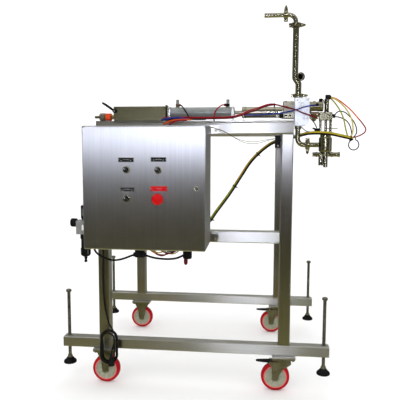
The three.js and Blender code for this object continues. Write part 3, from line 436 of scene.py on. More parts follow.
    # tube or hose along points
    def sweep(self, pts, r, mat, seg=12, cap=True, radii=None, ri=None):
        pts = [Vector(p) for p in pts]
        n = len(pts)
        tang = []
        for i in range(n):
            t = Vector((0, 0, 0))
            if i > 0:
                t += (pts[i] - pts[i - 1]).normalized()
            if i < n - 1:
                t += (pts[i + 1] - pts[i]).normalized()
            tang.append(t.normalized())
        ref = Vector((0, 0, 1)) if abs(tang[0].z) < 0.9 else Vector((1, 0, 0))
        side = tang[0].cross(ref).normalized()
        verts, faces = [], []
        for i in range(n):
            side = (side - side.dot(tang[i]) * tang[i]).normalized()
            up = tang[i].cross(side)
            k = 1.0
            if 0 < i < n - 1:
                d = (pts[i + 1] - pts[i]).normalized().dot(tang[i])
                k = 1.0 / max(0.6, d)
            rr = (radii[i] if radii else r)
            for j in range(seg):
                a = 2 * math.pi * j / seg
                verts.append(tuple(pts[i] + (side * math.cos(a) * k + up * math.sin(a)) * rr))
        for i in range(n - 1):
            for j in range(seg):
                j2 = (j + 1) % seg
                faces.append([i * seg + j, i * seg + j2, (i + 1) * seg + j2, (i + 1) * seg + j])
        if ri is not None:
            o = len(verts)
            side = tang[0].cross(ref).normalized()
            for i in range(n):
                side = (side - side.dot(tang[i]) * tang[i]).normalized()
                up = tang[i].cross(side)
                for j in range(seg):
                    a = 2 * math.pi * j / seg
                    verts.append(tuple(pts[i] + (side * math.cos(a) + up * math.sin(a)) * ri))
            for i in range(n - 1):
                for j in range(seg):
                    j2 = (j + 1) % seg
                    faces.append([o + i * seg + j2, o + i * seg + j, o + (i + 1) * seg + j, o + (i + 1) * seg + j2])
            for j in range(seg):
                j2 = (j + 1) % seg
                faces.append([j, o + j, o + j2, j2])
                e, oe = (n - 1) * seg, o + (n - 1) * seg
                faces.append([e + j2, oe + j2, oe + j, e + j])
        elif cap:
            faces.append([seg - 1 - j for j in range(seg)])
            faces.append([(n - 1) * seg + j for j in range(seg)])
        self.add(verts, faces, mat, True)

    # torus, for tie bands and rings; plane normal along axis vector
    def band(self, c, normal, r, w, t, mat, seg=32):
        n = Vector(normal).normalized()
        u = n.orthogonal().normalized()
        v = n.cross(u)
        c = Vector(c)
        verts, faces = [], []
        for k in range(seg):
            a = 2 * math.pi * k / seg
            d = u * math.cos(a) + v * math.sin(a)
            for rr, tt in ((r, -w / 2), (r + t, -w / 2), (r + t, w / 2), (r, w / 2)):
                verts.append(tuple(c + d * rr + n * tt))
        for k in range(seg):
            k2 = (k + 1) % seg
            for i in range(4):
                j = (i + 1) % 4
                faces.append([k * 4 + i, k2 * 4 + i, k2 * 4 + j, k * 4 + j])
        bm = bmesh.new()
        vs = [bm.verts.new(x) for x in verts]
        for f in faces:
            bm.faces.new([vs[i] for i in f])
        bmesh.ops.recalc_face_normals(bm, faces=bm.faces)
        self._bm(bm, mat)

    def make(self, name, body, replaces=(), angle=38.0):
        me = bpy.data.meshes.new(name)
        me.from_pydata([tuple(P(*v)) for v in self.v], [], self.f)
        for m in self.mats:
            me.materials.append(M[m])
        for p, i in zip(me.polygons, self.m):
            p.material_index = i
            p.use_smooth = True
        me.update()
        me.validate()
        me.set_sharp_from_angle(angle=math.radians(angle))
        ob = bpy.data.objects.new(name, me)
        bpy.context.scene.collection.objects.link(ob)
        wn = ob.modifiers.new("face_weights", "WEIGHTED_NORMAL")
        wn.keep_sharp = True
        wn.weight = 60
        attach(ob, body)
        if replaces:
            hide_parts(*([replaces] if isinstance(replaces, str) else replaces))
        return ob


def rr(w, h, r, n=6, c=(0, 0)):
    out = []
    for cx, cy, a0 in ((w / 2 - r, h / 2 - r, 0), (-w / 2 + r, h / 2 - r, 90), (-w / 2 + r, -h / 2 + r, 180), (w / 2 - r, -h / 2 + r, 270)):
        for i in range(n + 1):
            a = math.radians(a0 + 90.0 * i / n)
            out.append((c[0] + cx + r * math.cos(a), c[1] + cy + r * math.sin(a)))
    return out


def smooth_run(points, step=6.0, closed=False):
    """Even points on a centripetal Catmull-Rom curve through the given points."""
    p = [Vector(q) for q in points]
    ext = [p[0] * 2 - p[1]] + p + [p[-1] * 2 - p[-2]]
    out = []
    for i in range(1, len(ext) - 2):
        p0, p1, p2, p3 = ext[i - 1], ext[i], ext[i + 1], ext[i + 2]
        t0 = 0.0
        t1 = t0 + max(1e-6, (p1 - p0).length) ** 0.5
        t2 = t1 + max(1e-6, (p2 - p1).length) ** 0.5
        t3 = t2 + max(1e-6, (p3 - p2).length) ** 0.5
        n = max(2, int((p2 - p1).length / step) + 1)
        for k in range(n):
            t = t1 + (t2 - t1) * k / n
            a1 = p0 * ((t1 - t) / (t1 - t0)) + p1 * ((t - t0) / (t1 - t0))
            a2 = p1 * ((t2 - t) / (t2 - t1)) + p2 * ((t - t1) / (t2 - t1))
            a3 = p2 * ((t3 - t) / (t3 - t2)) + p3 * ((t - t2) / (t3 - t2))
            b1 = a1 * ((t2 - t) / (t2 - t0)) + a2 * ((t - t0) / (t2 - t0))
            b2 = a2 * ((t3 - t) / (t3 - t1)) + a3 * ((t - t1) / (t3 - t1))
            out.append(b1 * ((t2 - t) / (t2 - t1)) + b2 * ((t - t1) / (t2 - t1)))
    out.append(p[-1])
    return out


def filleted(points, radius, n=10):
    out = [Vector(points[0])]
    for i in range(1, len(points) - 1):
        p = Vector(points[i])
        u = (Vector(points[i - 1]) - p).normalized()
        v = (Vector(points[i + 1]) - p).normalized()
        half = u.angle(v) / 2
        d = radius / math.tan(half)
        c = p + (u + v).normalized() * (radius / math.sin(half))
        a, b = p + u * d - c, p + v * d - c
        ang = a.angle(b)
        for k in range(n + 1):
            w = k / n
            out.append(c + a * (math.sin((1 - w) * ang) / math.sin(ang)) + b * (math.sin(w * ang) / math.sin(ang)))
    out.append(Vector(points[-1]))
    return out


# ---------------------------------------------------------------- power lead (first of the pieces)
CORD_RUN = [
    (-826, -30, 642.7), (-826, -30, 630), (-827, -27, 614), (-829, -21, 596), (-831.5, -15, 574), (-834, -10.5, 548), (-835.5, -8.5, 515), (-835.5, -8, 475), (-834.5, -8, 435),
    (-832.5, -8, 398), (-828.5, -8, 360), (-822.5, -8.5, 330), (-815.5, -11.5, 306), (-808, -19, 287), (-800, -31, 270.5),
]


def lead():
    """Down the post, then turns of a round-ended hank, then a short tail into the plug."""
    d = 7.2
    pts = [Vector(p) for p in CORD_RUN[:-1]]
    xc, zc = -806.0, 186.0
    # turns: round-ended loops, stacked in Y and stepping outward
    loops = [(30.5, 72.0, -22.0), (36.4, 75.5, -25.6), (33.6, 73.0, -32.8), (36.6, 75.6, -38.4), (27.5, 68.0, -44.6)]
    loops = loops[:LOOPS]
    pts.append(Vector((-795.5, -24.5, 272)))

    def loop_point(w, hz, y, s):
        """s 0..1 clockwise from the right of the top; w half width, hz half height."""
        straight = 2 * (hz - w)
        arc = math.pi * w
        total = 2 * straight + 2 * arc
        L = s * total
        # start at the top centre, go right and down
        if L < arc / 2:
            a = L / w
            return Vector((xc + w * math.sin(a), y, zc + (hz - w) + w * math.cos(a)))
        L -= arc / 2
        if L < straight:
            return Vector((xc + w, y, zc + (hz - w) - L))
        L -= straight
        if L < arc:
            a = L / w
            return Vector((xc + w * math.cos(a), y, zc - (hz - w) - w * math.sin(a)))
        L -= arc
        if L < straight:
            return Vector((xc - w, y, zc - (hz - w) + L))
        L -= straight
        a = L / w
        return Vector((xc - w * math.cos(a), y, zc + (hz - w) + w * math.sin(a)))

    seq = []
    for i, (w, hz, y) in enumerate(loops):
        nxt = loops[i + 1] if i + 1 < len(loops) else (w, hz, y)
        n = 28
        for k in range(n):
            s = k / n
            t = max(0.0, (s - 0.72) / 0.28)
            t = t * t * (3 - 2 * t)
            ww, hh, yy = w + (nxt[0] - w) * t, hz + (nxt[1] - hz) * t, y + (nxt[2] - y) * t
            seq.append(loop_point(ww, hh, yy, s))
    pts += seq[ENTRY:]
    w, hz, y = loops[-1]
    pts += [loop_point(w, hz, y, s / 100.0) for s in range(0, 15, 2)]
    pts += [Vector(p) for p in TAIL]
    return smooth_run(pts, 5.0)


LOOPS = 5
ENTRY = 4
TAIL = [(-778.9, -46.0, 212.5), (-780.2, -50.0, 201.5), (-782.4, -56.0, 190.5), (-784.6, -61.8, 179), (-785.8, -65.2, 168), (-786, -66, 158), (-786, -66, 150)]


cord_pts = lead()
b = B()
b.sweep(cord_pts, 3.6, "cord", seg=10)
cord = b.make("mains_lead", "machine", ("power_cord", "cord_coil"))
# plug: moulded body, grip ribs, pins
b = B()
b.sweep([(-785.4, -64.0, 172), (-785.8, -65.2, 168), (-786, -66, 158), (-786, -66, 150), (-786, -66, 148)], 5, "black_soft", seg=20, radii=[4.3, 4.8, 5.7, 6.8, 7.5])
b.lathe("z", [(0, 150), (7, 150), (9.5, 148), (11.5, 143), (12.2, 136), (12.4, 128), (14.2, 124), (14.6, 117), (14.0, 114), (0, 114)], (-786, -66), "black", 36)
for z in (129, 132.5, 136, 139.5):
    b.band((-786, -66, z), (0, 0, 1), 11.4, 1.6, 1.5, "black_soft", 28)
b.box(-792.6, -791.0, -69, -63, 106.5, 114.5, "brass", 0.3)
b.box(-781.0, -779.4, -69, -63, 106.5, 114.5, "brass", 0.3)
b.cyl("z", 2.3, 106.0, 114.5, (-786, -60.5), "brass", 16, 0.6)
plug = b.make("mains_plug", "machine", ("cord_plug",))
b = B()
b.lathe("z", [(3.6, 642.7), (4.6, 642.7), (6.0, 645), (6.6, 650), (8.4, 653), (9.6, 655), (9.6, 662), (11.2, 662.5), (11.2, 666.6), (3.6, 666.6)], (-826, -30), "black", 32, ring=True)
b.make("lead_strain_relief", "machine")
# tie round the hank
b = B()
tie_c = (-806, -31, 128)
b.sweep([(-806 + 8 * math.cos(a), -31.5 + 17.5 * math.cos(a + 1.5708), 118.5 + 12.5 * math.sin(a)) for a in [2 * math.pi * k / 24 for k in range(25)]], 1.3, "black_soft", seg=8)
tie = b.make("hank_tie", "machine")


# ---------------------------------------------------------------- frame
def tube_x(b, x0, x1, yc, zc, h=50.8, mat="steel_x", end=True):
    b.prism("x", rr(50.8, h, 5.2, 6, (yc, zc)), x0, x1, mat, 0.8 if end else 0)


for tag, yc in (("front", FRONT_C), ("rear", REAR_C)):
    b = B()
    zc = (RAIL_Z + RAIL_TOP) / 2
    tube_x(b, -1029.5, 170.5, yc, zc, 46)
    # flush end caps
    b.prism("x", rr(50.2, 45.4, 5.0, 6, (yc, zc)), -1031, -1029.3, "steel_z", 0.5)
    b.prism("x", rr(50.2, 45.4, 5.0, 6, (yc, zc)), 170.3, 172, "steel_z", 0.5)
    # caster plates with bolts
    b.box(POST_L - 52, POST_L + 52, yc - 42, yc + 42, RAIL_Z - 8, RAIL_Z - 0.2, "steel_x", 1.2)
    b.box(POST_R - 51, POST_R + 51, yc - 42, yc + 42, RAIL_Z - 8, RAIL_Z - 0.2, "steel_x", 1.2)
    b.box(POST_R - 50, POST_R + 50, yc - 41, yc + 41, RAIL_Z - 14.5, RAIL_Z - 8.4, "zinc", 1.0)
    b.lathe("z", [(0, RAIL_Z - 24), (36, RAIL_Z - 24), (40, RAIL_Z - 21), (40, RAIL_Z - 18), (34, RAIL_Z - 14), (0, RAIL_Z - 14)], (POST_R, yc), "zinc", 56)
    b.lathe("z", [(0, RAIL_Z - 30), (31, RAIL_Z - 30), (34, RAIL_Z - 28), (34, RAIL_Z - 24.2), (0, RAIL_Z - 24.2)], (POST_R, yc), "zinc_dark", 56)
    for px in (POST_L, POST_R):
        for sx in (-1, 1):
            for sy in (-1, 1):
                z1 = RAIL_Z - 14.4 if px == POST_R else RAIL_Z - 14.2
                b.hexa("z", 6.6, z1 - 5, z1, (px + sx * 41, yc + sy * 33), "zinc")
    for fx in (-1009.5, 150.5):
        b.pipe("z", 13.5, 8.3, RAIL_TOP - 0.2, RAIL_TOP + 2.0, (fx, yc), "steel_z", 32)
        b.pipe("z", 13.5, 8.3, RAIL_Z - 2.0, RAIL_Z + 0.2, (fx, yc), "steel_z", 32)
    b.make(f"{tag}_base_rail", "machine", (f"base_rail_{tag}",))


def bead(b, pts, r=1.5):
    """A weld bead: a thin rope of overlapping puddles."""
    run = smooth_run(pts, 2.2)
    b.sweep(run, r, "weld", seg=8, radii=[r * (0.85 + 0.22 * abs(math.sin(i * 1.35))) for i in range(len(run))])


def ring_bead(b, xc, yc, z, w, d):
    q = rr(w, d, 5.5, 5, (xc, yc))
    bead(b, [(x, y, z) for x, y in q] + [(q[0][0], q[0][1], z)], 1.3)


for side, px in (("left", POST_L), ("right", POST_R)):
    for tag, yc, top in (("front", FRONT_C, BEAM_TOP - 6.35 - 50.8), ("rear", REAR_C, BEAM_TOP - 50.8)):
        b = B()
        b.prism("z", rr(50.8, 50.8, 5.2, 6, (px, yc)), RAIL_TOP + 0.1, top - 0.1, "steel_z", 0)
        ring_bead(b, px, yc, RAIL_TOP + 0.9, 51.6, 49.6)
        ring_bead(b, px, yc, top - 1.0, 51.6, 49.6)
        b.make(f"{tag}_{side}_post", "machine", (f"post_{tag}_{side}",))

b = B()
zt = BEAM_TOP - 6.35 - 25.4
tube_x(b, -858.6, -1.4, FRONT_C, zt)
b.prism("x", rr(50.2, 50.2, 5.0, 6, (FRONT_C, zt)), -860, -858.4, "steel_z", 0.5)
b.prism("x", rr(50.2, 50.2, 5.0, 6, (FRONT_C, zt)), -1.6, 0, "steel_z", 0.5)
b.box(-860, 0, 1, 50.8, BEAM_TOP - 6.3, BEAM_TOP, "steel_x", 0.9)
b.make("front_top_beam", "machine", ("top_beam_front",))
b = B()
zt = BEAM_TOP - 25.4
tube_x(b, -858.6, -1.4, REAR_C, zt)
b.prism("x", rr(50.2, 50.2, 5.0, 6, (REAR_C, zt)), -860, -858.4, "steel_z", 0.5)
b.prism("x", rr(50.2, 50.2, 5.0, 6, (REAR_C, zt)), -1.6, 0, "steel_z", 0.5)
b.make("rear_top_beam", "machine", ("top_beam_rear",))
for side, px in (("left", POST_L), ("right", POST_R)):
    b = B()
    b.prism("y", rr(50.8, 50.8, 5.2, 6, (px, BEAM_TOP - 25.4)), 51.2, 755.6, "steel_y", 0)
    b.make(f"{side}_cross_tube", "machine", (f"cross_tube_{side}",))
b = B()
b.prism("x", rr(50.8, 50.8, 5.2, 6, (FRONT_C, 692.8)), -808.8, -51.2, "steel_x", 0)
q = rr(49.8, 49.8, 5.5, 5, (FRONT_C, 692.8))
for x in (-51.9, -808.2):
    bead(b, [(x, y, z) for y, z in q] + [(x, q[0][0], q[0][1])], 1.2)
b.make("middle_rail", "machine", ("mid_rail",))


# ---------------------------------------------------------------- casters
def fork_leg(b, pts, y0, y1, mat="zinc"):
    b.prism("y", pts, y0, y1, mat, 0.7)


def wheel(name, x, yc, body, node):
    b = B()
    h = 16
    tread = [(50.6, -h + 0.5), (55.5, -h - 0.0), (60.2, -h + 1.2), (62.4, -h + 4.2), (63.3, -h + 9), (63.5, 0), (63.3, h - 9), (62.4, h - 4.2), (60.2, h - 1.2), (55.5, h), (50.6, h - 0.5)]
    b.lathe("y", [(r, yc + t) for r, t in tread], (x, 63.5), "pu", 96, ring=True)
    rim = [(45.4, -h + 1.6), (47.4, -h + 0.4), (50.9, -h + 0.4), (50.9, h - 0.4), (47.4, h - 0.4), (45.4, h - 1.6)]
    b.lathe("y", [(r, yc + t) for r, t in rim], (x, 63.5), "core_rim", 96, ring=True)
    core = [(7.0, -18.5), (14, -18.5), (16.5, -16.5), (17.5, -11), (22, -9), (40, -9.6), (43.5, -13.2), (45.7, -h + 1.6), (45.7, h - 1.6), (43.5, 13.2), (40, 9.6), (22, 9), (17.5, 11), (16.5, 16.5), (14, 18.5), (7.0, 18.5)]
    b.lathe("y", [(r, yc + t) for r, t in core], (x, 63.5), "core", 96, ring=True)
    for k in range(10):
        a = 2 * math.pi * k / 10
        c, s = math.cos(a), math.sin(a)
        for sg in (-1, 1):
            pts = [(x + c * 18, yc + sg * 9.6, 63.5 + s * 18), (x + c * 32, yc + sg * 10.0, 63.5 + s * 32), (x + c * 42.5, yc + sg * 11.8, 63.5 + s * 42.5)]
            b.sweep(pts, 1.5, "core", seg=8)
    b.pipe("y", 9.5, 6.3, yc - 19.4, yc + 19.4, (x, 63.5), "zinc", 32)
    b.make(name, body, (node,))


for tag, yc in (("front", FRONT_C), ("rear", REAR_C)):
    wheel(f"{tag}_left_wheel", POST_L, yc, f"wheel_{tag}_left", f"wheel_{tag}_left")
    wheel(f"{tag}_right_wheel", -60.4, yc, f"wheel_{tag}_right", f"wheel_{tag}_right")
    # rigid fork
    b = B()
    top = RAIL_Z - 8.3
    x = POST_L
    b.box(x - 52, x + 52, yc - 42, yc + 42, top - 5.6, top, "zinc", 1.0)
    leg = [(x - 42, top - 5), (x - 38, top - 15), (x - 19, 100), (x - 15, 54), (x - 8, 48.5), (x + 8, 48.5), (x + 15, 54), (x + 19, 100), (x + 38, top - 15), (x + 42, top - 5)]
    fork_leg(b, leg, yc - 24.2, yc - 20.7)
    fork_leg(b, leg, yc + 20.7, yc + 24.2)
    b.box(x - 40, x + 40, yc - 24.2, yc + 24.2, top - 9.5, top - 5.0, "zinc", 1.5)
    for sg in (-1, 1):
        b.sweep([(x - 32, yc + sg * 24.1, top - 16), (x - 16, yc + sg * 24.6, 98), (x - 12.5, yc + sg * 24.3, 62)], 1.7, "zinc", seg=8)
        b.sweep([(x + 32, yc + sg * 24.1, top - 16), (x + 16, yc + sg * 24.6, 98), (x + 12.5, yc + sg * 24.3, 62)], 1.7, "zinc", seg=8)
    b.cyl("y", 5.9, yc - 28, yc + 29, (x, 63.5), "zinc_dark", 24)
    b.pipe("y", 11.5, 5.9, yc - 26.0, yc - 24.2, (x, 63.5), "zinc", 32)
    b.hexa("y", 9.6, yc - 29.5, yc - 26.0, (x, 63.5), "zinc")
    b.pipe("y", 11.5, 5.9, yc + 24.2, yc + 26.0, (x, 63.5), "zinc", 32)
    b.hexa("y", 9.6, yc + 26.0, yc + 30, (x, 63.5), "zinc", 0.3)
    b.make(f"{tag}_rigid_fork", "machine", (f"fork_rigid_{tag}",))
    # swivel fork
    b = B()
    t = RAIL_Z - 30.3
    X = -60.4
    leg = [(8, t - 0.4), (8, t - 9), (-6, t - 20), (-31, 102), (X + 16.5, 76), (X + 14.5, 54), (X + 8, 48.5), (X - 8, 48.5), (X - 14.5, 54), (X - 15, 96), (-80, t - 18), (-88, t - 12), (-88, t - 0.4)]
    fork_leg(b, leg, yc - 24.2, yc - 20.7)
    fork_leg(b, leg, yc + 20.7, yc + 24.2)
    b.box(-66, 8, yc - 24, yc + 24, t - 5, t, "zinc", 1.4)
    b.cyl("z", 9, t - 11, t - 4, (POST_R, yc), "zinc_dark", 24)
    b.cyl("y", 5.9, yc - 28, yc + 29, (X, 63.5), "zinc_dark", 24)
    b.pipe("y", 11.5, 5.9, yc - 26.0, yc - 24.2, (X, 63.5), "zinc", 32)
    b.hexa("y", 9.6, yc - 29.5, yc - 26.0, (X, 63.5), "zinc")
    b.pipe("y", 11.5, 5.9, yc + 24.2, yc + 26.0, (X, 63.5), "zinc", 32)
    b.hexa("y", 9.6, yc + 26.0, yc + 30, (X, 63.5), "zinc", 0.3)
    for sg in (-1, 1):
        b.sweep([(-8, yc + sg * 24.1, t - 14), (-35, yc + sg * 24.7, 101), (X + 13, yc + sg * 24.3, 68)], 1.8, "zinc", seg=8)
        b.sweep([(-77, yc + sg * 24.1, t - 15), (X - 12, yc + sg * 24.6, 94), (X - 11, yc + sg * 24.3, 66)], 1.6, "zinc", seg=8)
    b.make(f"{tag}_swivel_fork", f"swivel_{tag}", (f"fork_swivel_{tag}",))
    # brake pedal
    b = B()
    b.prism("z", [(-147, yc - 4.5), (-138, yc - 9.5), (-112, yc - 15.5), (-88, yc - 17.5), (-76, yc - 17.5), (-76, yc + 17.5), (-88, yc + 17.5), (-112, yc + 15.5), (-138, yc + 9.5), (-147, yc + 4.5)], 128.4, 134.6, "black", 1.4)
    for px in (-141, -137, -133, -129, -125):
        b.box(px - 0.9, px + 0.9, yc - 6.5, yc + 6.5, 134.2, 135.3, "black_soft", 0.3)
    b.cyl("y", 3, yc - 20, yc + 20, (-80, 132), "zinc", 20)
    b.make(f"{tag}_brake_pedal", f"brake_{tag}", (f"brake_pedal_{tag}",))
    # levelling feet
    for side, fx in (("left", -1009.5), ("right", 150.5)):
        b = B()
        b.lathe("z", [(0, 81), (25, 81), (28.5, 82), (29.5, 84), (29.4, 88), (28, 91.5), (23, 96), (16.5, 103), (14, 108), (0, 108)], (fx, yc), "black_soft", 48)
        b.band((fx, yc, 85), (0, 0, 1), 28.9, 1.6, 0.55, "black", 48)
        b.lathe("z", [(0, 107.5), (12.0, 107.5), (12.6, 109), (10.5, 111.5), (0, 111.5)], (fx, yc), "zinc_dark", 32)
        b.hexa("z", 11.4, 111, 119, (fx, yc), "zinc")
        prof = [(0, 118), (7.4, 118)]
        z = 119.0
        while z < 416:
            prof += [(7.5, z), (7.5, z + 0.9), (6.75, z + 1.5), (6.75, z + 1.9)]
            z += 2.6
        prof += [(7.5, 418.4), (0, 418.4)]
        b.lathe("z", prof, (fx, yc), "zinc_dark", 20)
        b.lathe("z", [(0, 418), (11.2, 418), (12.2, 419), (12.4, 424), (11.6, 427.5), (9.0, 429.6), (5, 430), (0, 430)], (fx, yc), "zinc_dark", 32)
        for k in range(6):
            a = math.pi / 3 * k
            b.box(fx + 11.3 * math.cos(a) - 0.8, fx + 11.3 * math.cos(a) + 0.8, yc + 11.3 * math.sin(a) - 0.8, yc + 11.3 * math.sin(a) + 0.8, 419.5, 426.5, "zinc", 0.3)
        b.make(f"{tag}_{side}_levelling_foot", f"levelling_{tag}_{side}", (f"levelling_foot_{tag}_{side}",))


# ---------------------------------------------------------------- control enclosure
def shell_ring(b, outer, inner, y0, y1, mat):
    """A closed frame between two outlines of the same number of points, along Y."""
    n = len(outer)
    verts = [(x, y0, z) for x, z in outer] + [(x, y0, z) for x, z in inner] + [(x, y1, z) for x, z in outer] + [(x, y1, z) for x, z in inner]
    faces = []
    for i in range(n):
        j = (i + 1) % n
        faces += [[i, j, n + j, n + i], [2 * n + j, 2 * n + i, 3 * n + i, 3 * n + j], [j, i, 2 * n + i, 2 * n + j], [n + i, n + j, 3 * n + j, 3 * n + i]]
    bm = bmesh.new()
    vs = [bm.verts.new(v) for v in verts]
    for f in faces:
        bm.faces.new([vs[i] for i in f])
    bmesh.ops.recalc_face_normals(bm, faces=bm.faces)
    b._bm(bm, mat)


BXC, BZC = -602.0, 917.0
b = B()
shell_ring(b, rr(500, 500, 6, 6, (BXC, BZC)), rr(495, 495, 4, 6, (BXC, BZC)), -200, -5.5, "sheet")
shell_ring(b, rr(498.5, 498.5, 6, 6, (BXC, BZC)), rr(456, 456, 8, 6, (BXC, BZC)), -200.0, -197.5, "sheet")
b.prism("y", rr(500, 500, 6, 6, (BXC, BZC)), -5.6, -3.0, "sheet", 0.8)
shell_ring(b, rr(462, 462, 9, 6, (BXC, BZC)), rr(456.4, 456.4, 8, 6, (BXC, BZC)), -200.3, -198.4, "black_soft")
for x in (-832, -372):
    for z in (690, 1158):
        b.cyl("y", 9, -3.4, -0.3, (x, z), "steel_z", 32)
# gland, vent, bracket bar of the filter-regulator
b.hexa("z", 11, 653, 667.2, (-826, -30), "black")
b.lathe("z", [(4.2, 643), (7, 643), (9.4, 653), (9.4, 655), (4.2, 655)], (-826, -30), "black", 32, ring=True)
b.box(-859, -851.4, -118, -82, 716, 764, "zinc", 1.0)
for z in (724, 756):
    b.hexa("x", 5.5, -862.5, -859, (-100 if z == 724 else -100, z), "zinc")
b.box(-852.6, -851.9, -160, -60, 1080, 1120, "steel_z", 0.2)
b.make("enclosure_shell", "machine", ("enclosure_body",))

# door: folded tray with softly rounded front edges
b = B()
y0, y1 = -216.0, -200.5
verts, faces = [], []
rows = []
steps = [(5.2, 0.0), (3.6, 0.18), (2.2, 0.7), (1.1, 1.6), (0.35, 2.9), (0.0, 4.6), (0.0, y1 - y0)]
for inset, dy in steps:
    q = rr(500 - 2 * inset, 500 - 2 * inset, max(1.5, 7 - inset), 6, (BXC, BZC))
    rows.append([(x, y0 + dy, z) for x, z in q])
inner = rr(495, 495, 5, 6, (BXC, BZC))
rows.append([(x, y1, z) for x, z in inner])
rows.append([(x, y0 + 2.4, z) for x, z in inner])
n = len(rows[0])
bm = bmesh.new()
vr = [[bm.verts.new(v) for v in row] for row in rows]
for a, c in zip(vr[:-1], vr[1:]):
    for i in range(n):
        j = (i + 1) % n
        bm.faces.new([a[i], a[j], c[j], c[i]])
bm.faces.new(vr[0][::-1])
bm.faces.new(vr[-1])
bmesh.ops.recalc_face_normals(bm, faces=bm.faces)
b._bm(bm, "sheet")
# foam seal inside, document pocket
shell_ring(b, rr(474, 474, 8, 6, (BXC, BZC)), rr(464, 464, 7, 6, (BXC, BZC)), -213.7, -201.4, "black_soft")
b.box(-760, -440, -213.4, -209.5, 700, 800, "device", 1.0)
COLS = {"upper_left": (-670, 992), "upper_right": (-541, 992), "lower_left": (-670, 877), "stop": (-541, 877)}
for key, (x, z) in COLS.items():
    b.lathe("y", [(7, y0 + 3), (7, y0 - 4.5), (9.5, y0 - 5.9), (12.0, y0 - 6.0), (13.8, y0 - 5.4), (15.3, y0 - 3.8), (15.6, y0 - 1.2), (15.9, y0 + 0.2), (7, y0 + 0.2)], (x, z), "polish", 56)
    b.cyl("y", 10.8, y0 + 1, y1 - 4.2, (x, z), "black", 32)
    b.hexa("y", 13, y0 + 2.3, y0 + 6, (x, z), "black")
b.make("enclosure_door_panel", "door", ("enclosure_door",))

# legend plates: blank generic marks only
plates = [("upper_left", -671.0, 1031.5, 64, 19, "legend", "legend_mark"), ("upper_right", -539.8, 1033.5, 63, 19, "legend", "legend_mark"),
          ("lower_left", -667.0, 913.5, 60, 19, "legend", "legend_mark"), ("stop", -538.5, 918.0, 67, 20, "legend_red", "legend_pink")]
for key, x, z, w, h, m0, m1 in plates:
    b = B()
    b.prism("y", rr(w, h, 1.6, 4, (x, z)), y0 - 1.3, y0 - 0.05, m0, 0.35)
    rim = 0.8
    shell_ring(b, rr(w - 1.2, h - 1.2, 1.4, 4, (x, z)), rr(w - 1.2 - 2 * rim, h - 1.2 - 2 * rim, 1.0, 4, (x, z)), y0 - 1.55, y0 - 1.2, m1)
    if key != "stop":
        pts = [(x + (w * 0.22) * math.cos(a), y0 - 1.45, z - 2.4 + 3.4 * math.sin(a)) for a in [math.pi * (0.14 + 0.72 * k / 14) for k in range(15)]]
        b.sweep(pts, 0.45, m1, seg=6)
        b.box(x - w * 0.34, x - w * 0.27, y0 - 1.7, y0 - 1.2, z - 2.6, z - 1.2, m1, 0.2)
        b.box(x + w * 0.27, x + w * 0.34, y0 - 1.7, y0 - 1.2, z - 2.6, z - 1.2, m1, 0.2)
    else:
        b.box(x - 11, x + 11, y0 - 1.7, y0 - 1.2, z - 1.6, z + 1.6, m1, 0.2)
    for sx in (-1, 1):
        b.cyl("y", 1.3, y0 - 1.9, y0 - 1.2, (x + sx * (w / 2 - 3.6), z), "polish_dark", 16, 0.2)
    b.make(f"legend_plate_{key}", "door")

# selectors
for key in ("upper_left", "upper_right", "lower_left"):
    x, z = COLS[key]
    b = B()
    b.cyl("y", 6.2, y0 - 7, y0 + 6.8, (x, z), "black", 24)
    # the near-white bezel ring is a painted reflection
    b.lathe("y", [(11.9, y0 - 5.6), (13.6, y0 - 5.2), (14.4, y0 - 4.0), (14.4, y0 - 3.4), (11.9, y0 - 3.4)], (x, z), "bezel", 56, ring=True)
    b.lathe("y", [(0, y0 - 12.2), (9.0, y0 - 12.2), (10.8, y0 - 11.4), (11.6, y0 - 9.6), (11.7, y0 - 6.4), (0, y0 - 6.4)], (x, z), "black", 48)
    q = -38.0
    bar = [(u, w) for u, w in rr(8.4, 25.5, 3.6, 6)]
    ca, sa = math.cos(math.radians(q)), math.sin(math.radians(q))
    # the bar leans to the upper left by 38 degrees
    pts = [(x + u * ca + w * sa, z - u * sa + w * ca) for u, w in bar]
    b.prism("y", pts, y0 - 24, y0 - 11.5, "black", 1.6)
    tip = [(x + u * ca + w * sa, z - u * sa + w * ca) for u, w in rr(2.2, 9.0, 0.9, 3, (0, 6.5))]
    b.prism("y", tip, y0 - 24.5, y0 - 23.6, "white", 0.2)
    b.make(f"selector_knob_{key}", f"selector_{key}", (f"selector_{key}",))
# emergency stop
x, z = COLS["stop"]
b = B()
prof = [(0, y0 - 35.8), (5, y0 - 35.6), (10.5, y0 - 34.7), (15.2, y0 - 32.9), (19.0, y0 - 30.2), (21.6, y0 - 27.0), (22.9, y0 - 23.8), (22.9, y0 - 21.8), (21.4, y0 - 19.8), (18.2, y0 - 18.2), (13, y0 - 17.4), (0, y0 - 17.2)]
b.lathe("y", prof, (x, z), "red", 72)
b.lathe("y", [(0, y0 - 19), (12.6, y0 - 19), (12.6, y0 - 15), (10.6, y0 - 12), (0, y0 - 12)], (x, z), "red", 40)
b.cyl("y", 6.3, y0 - 13, y0 + 2.9, (x, z), "black", 24)
b.make("emergency_stop", "estop", ("estop_button",))
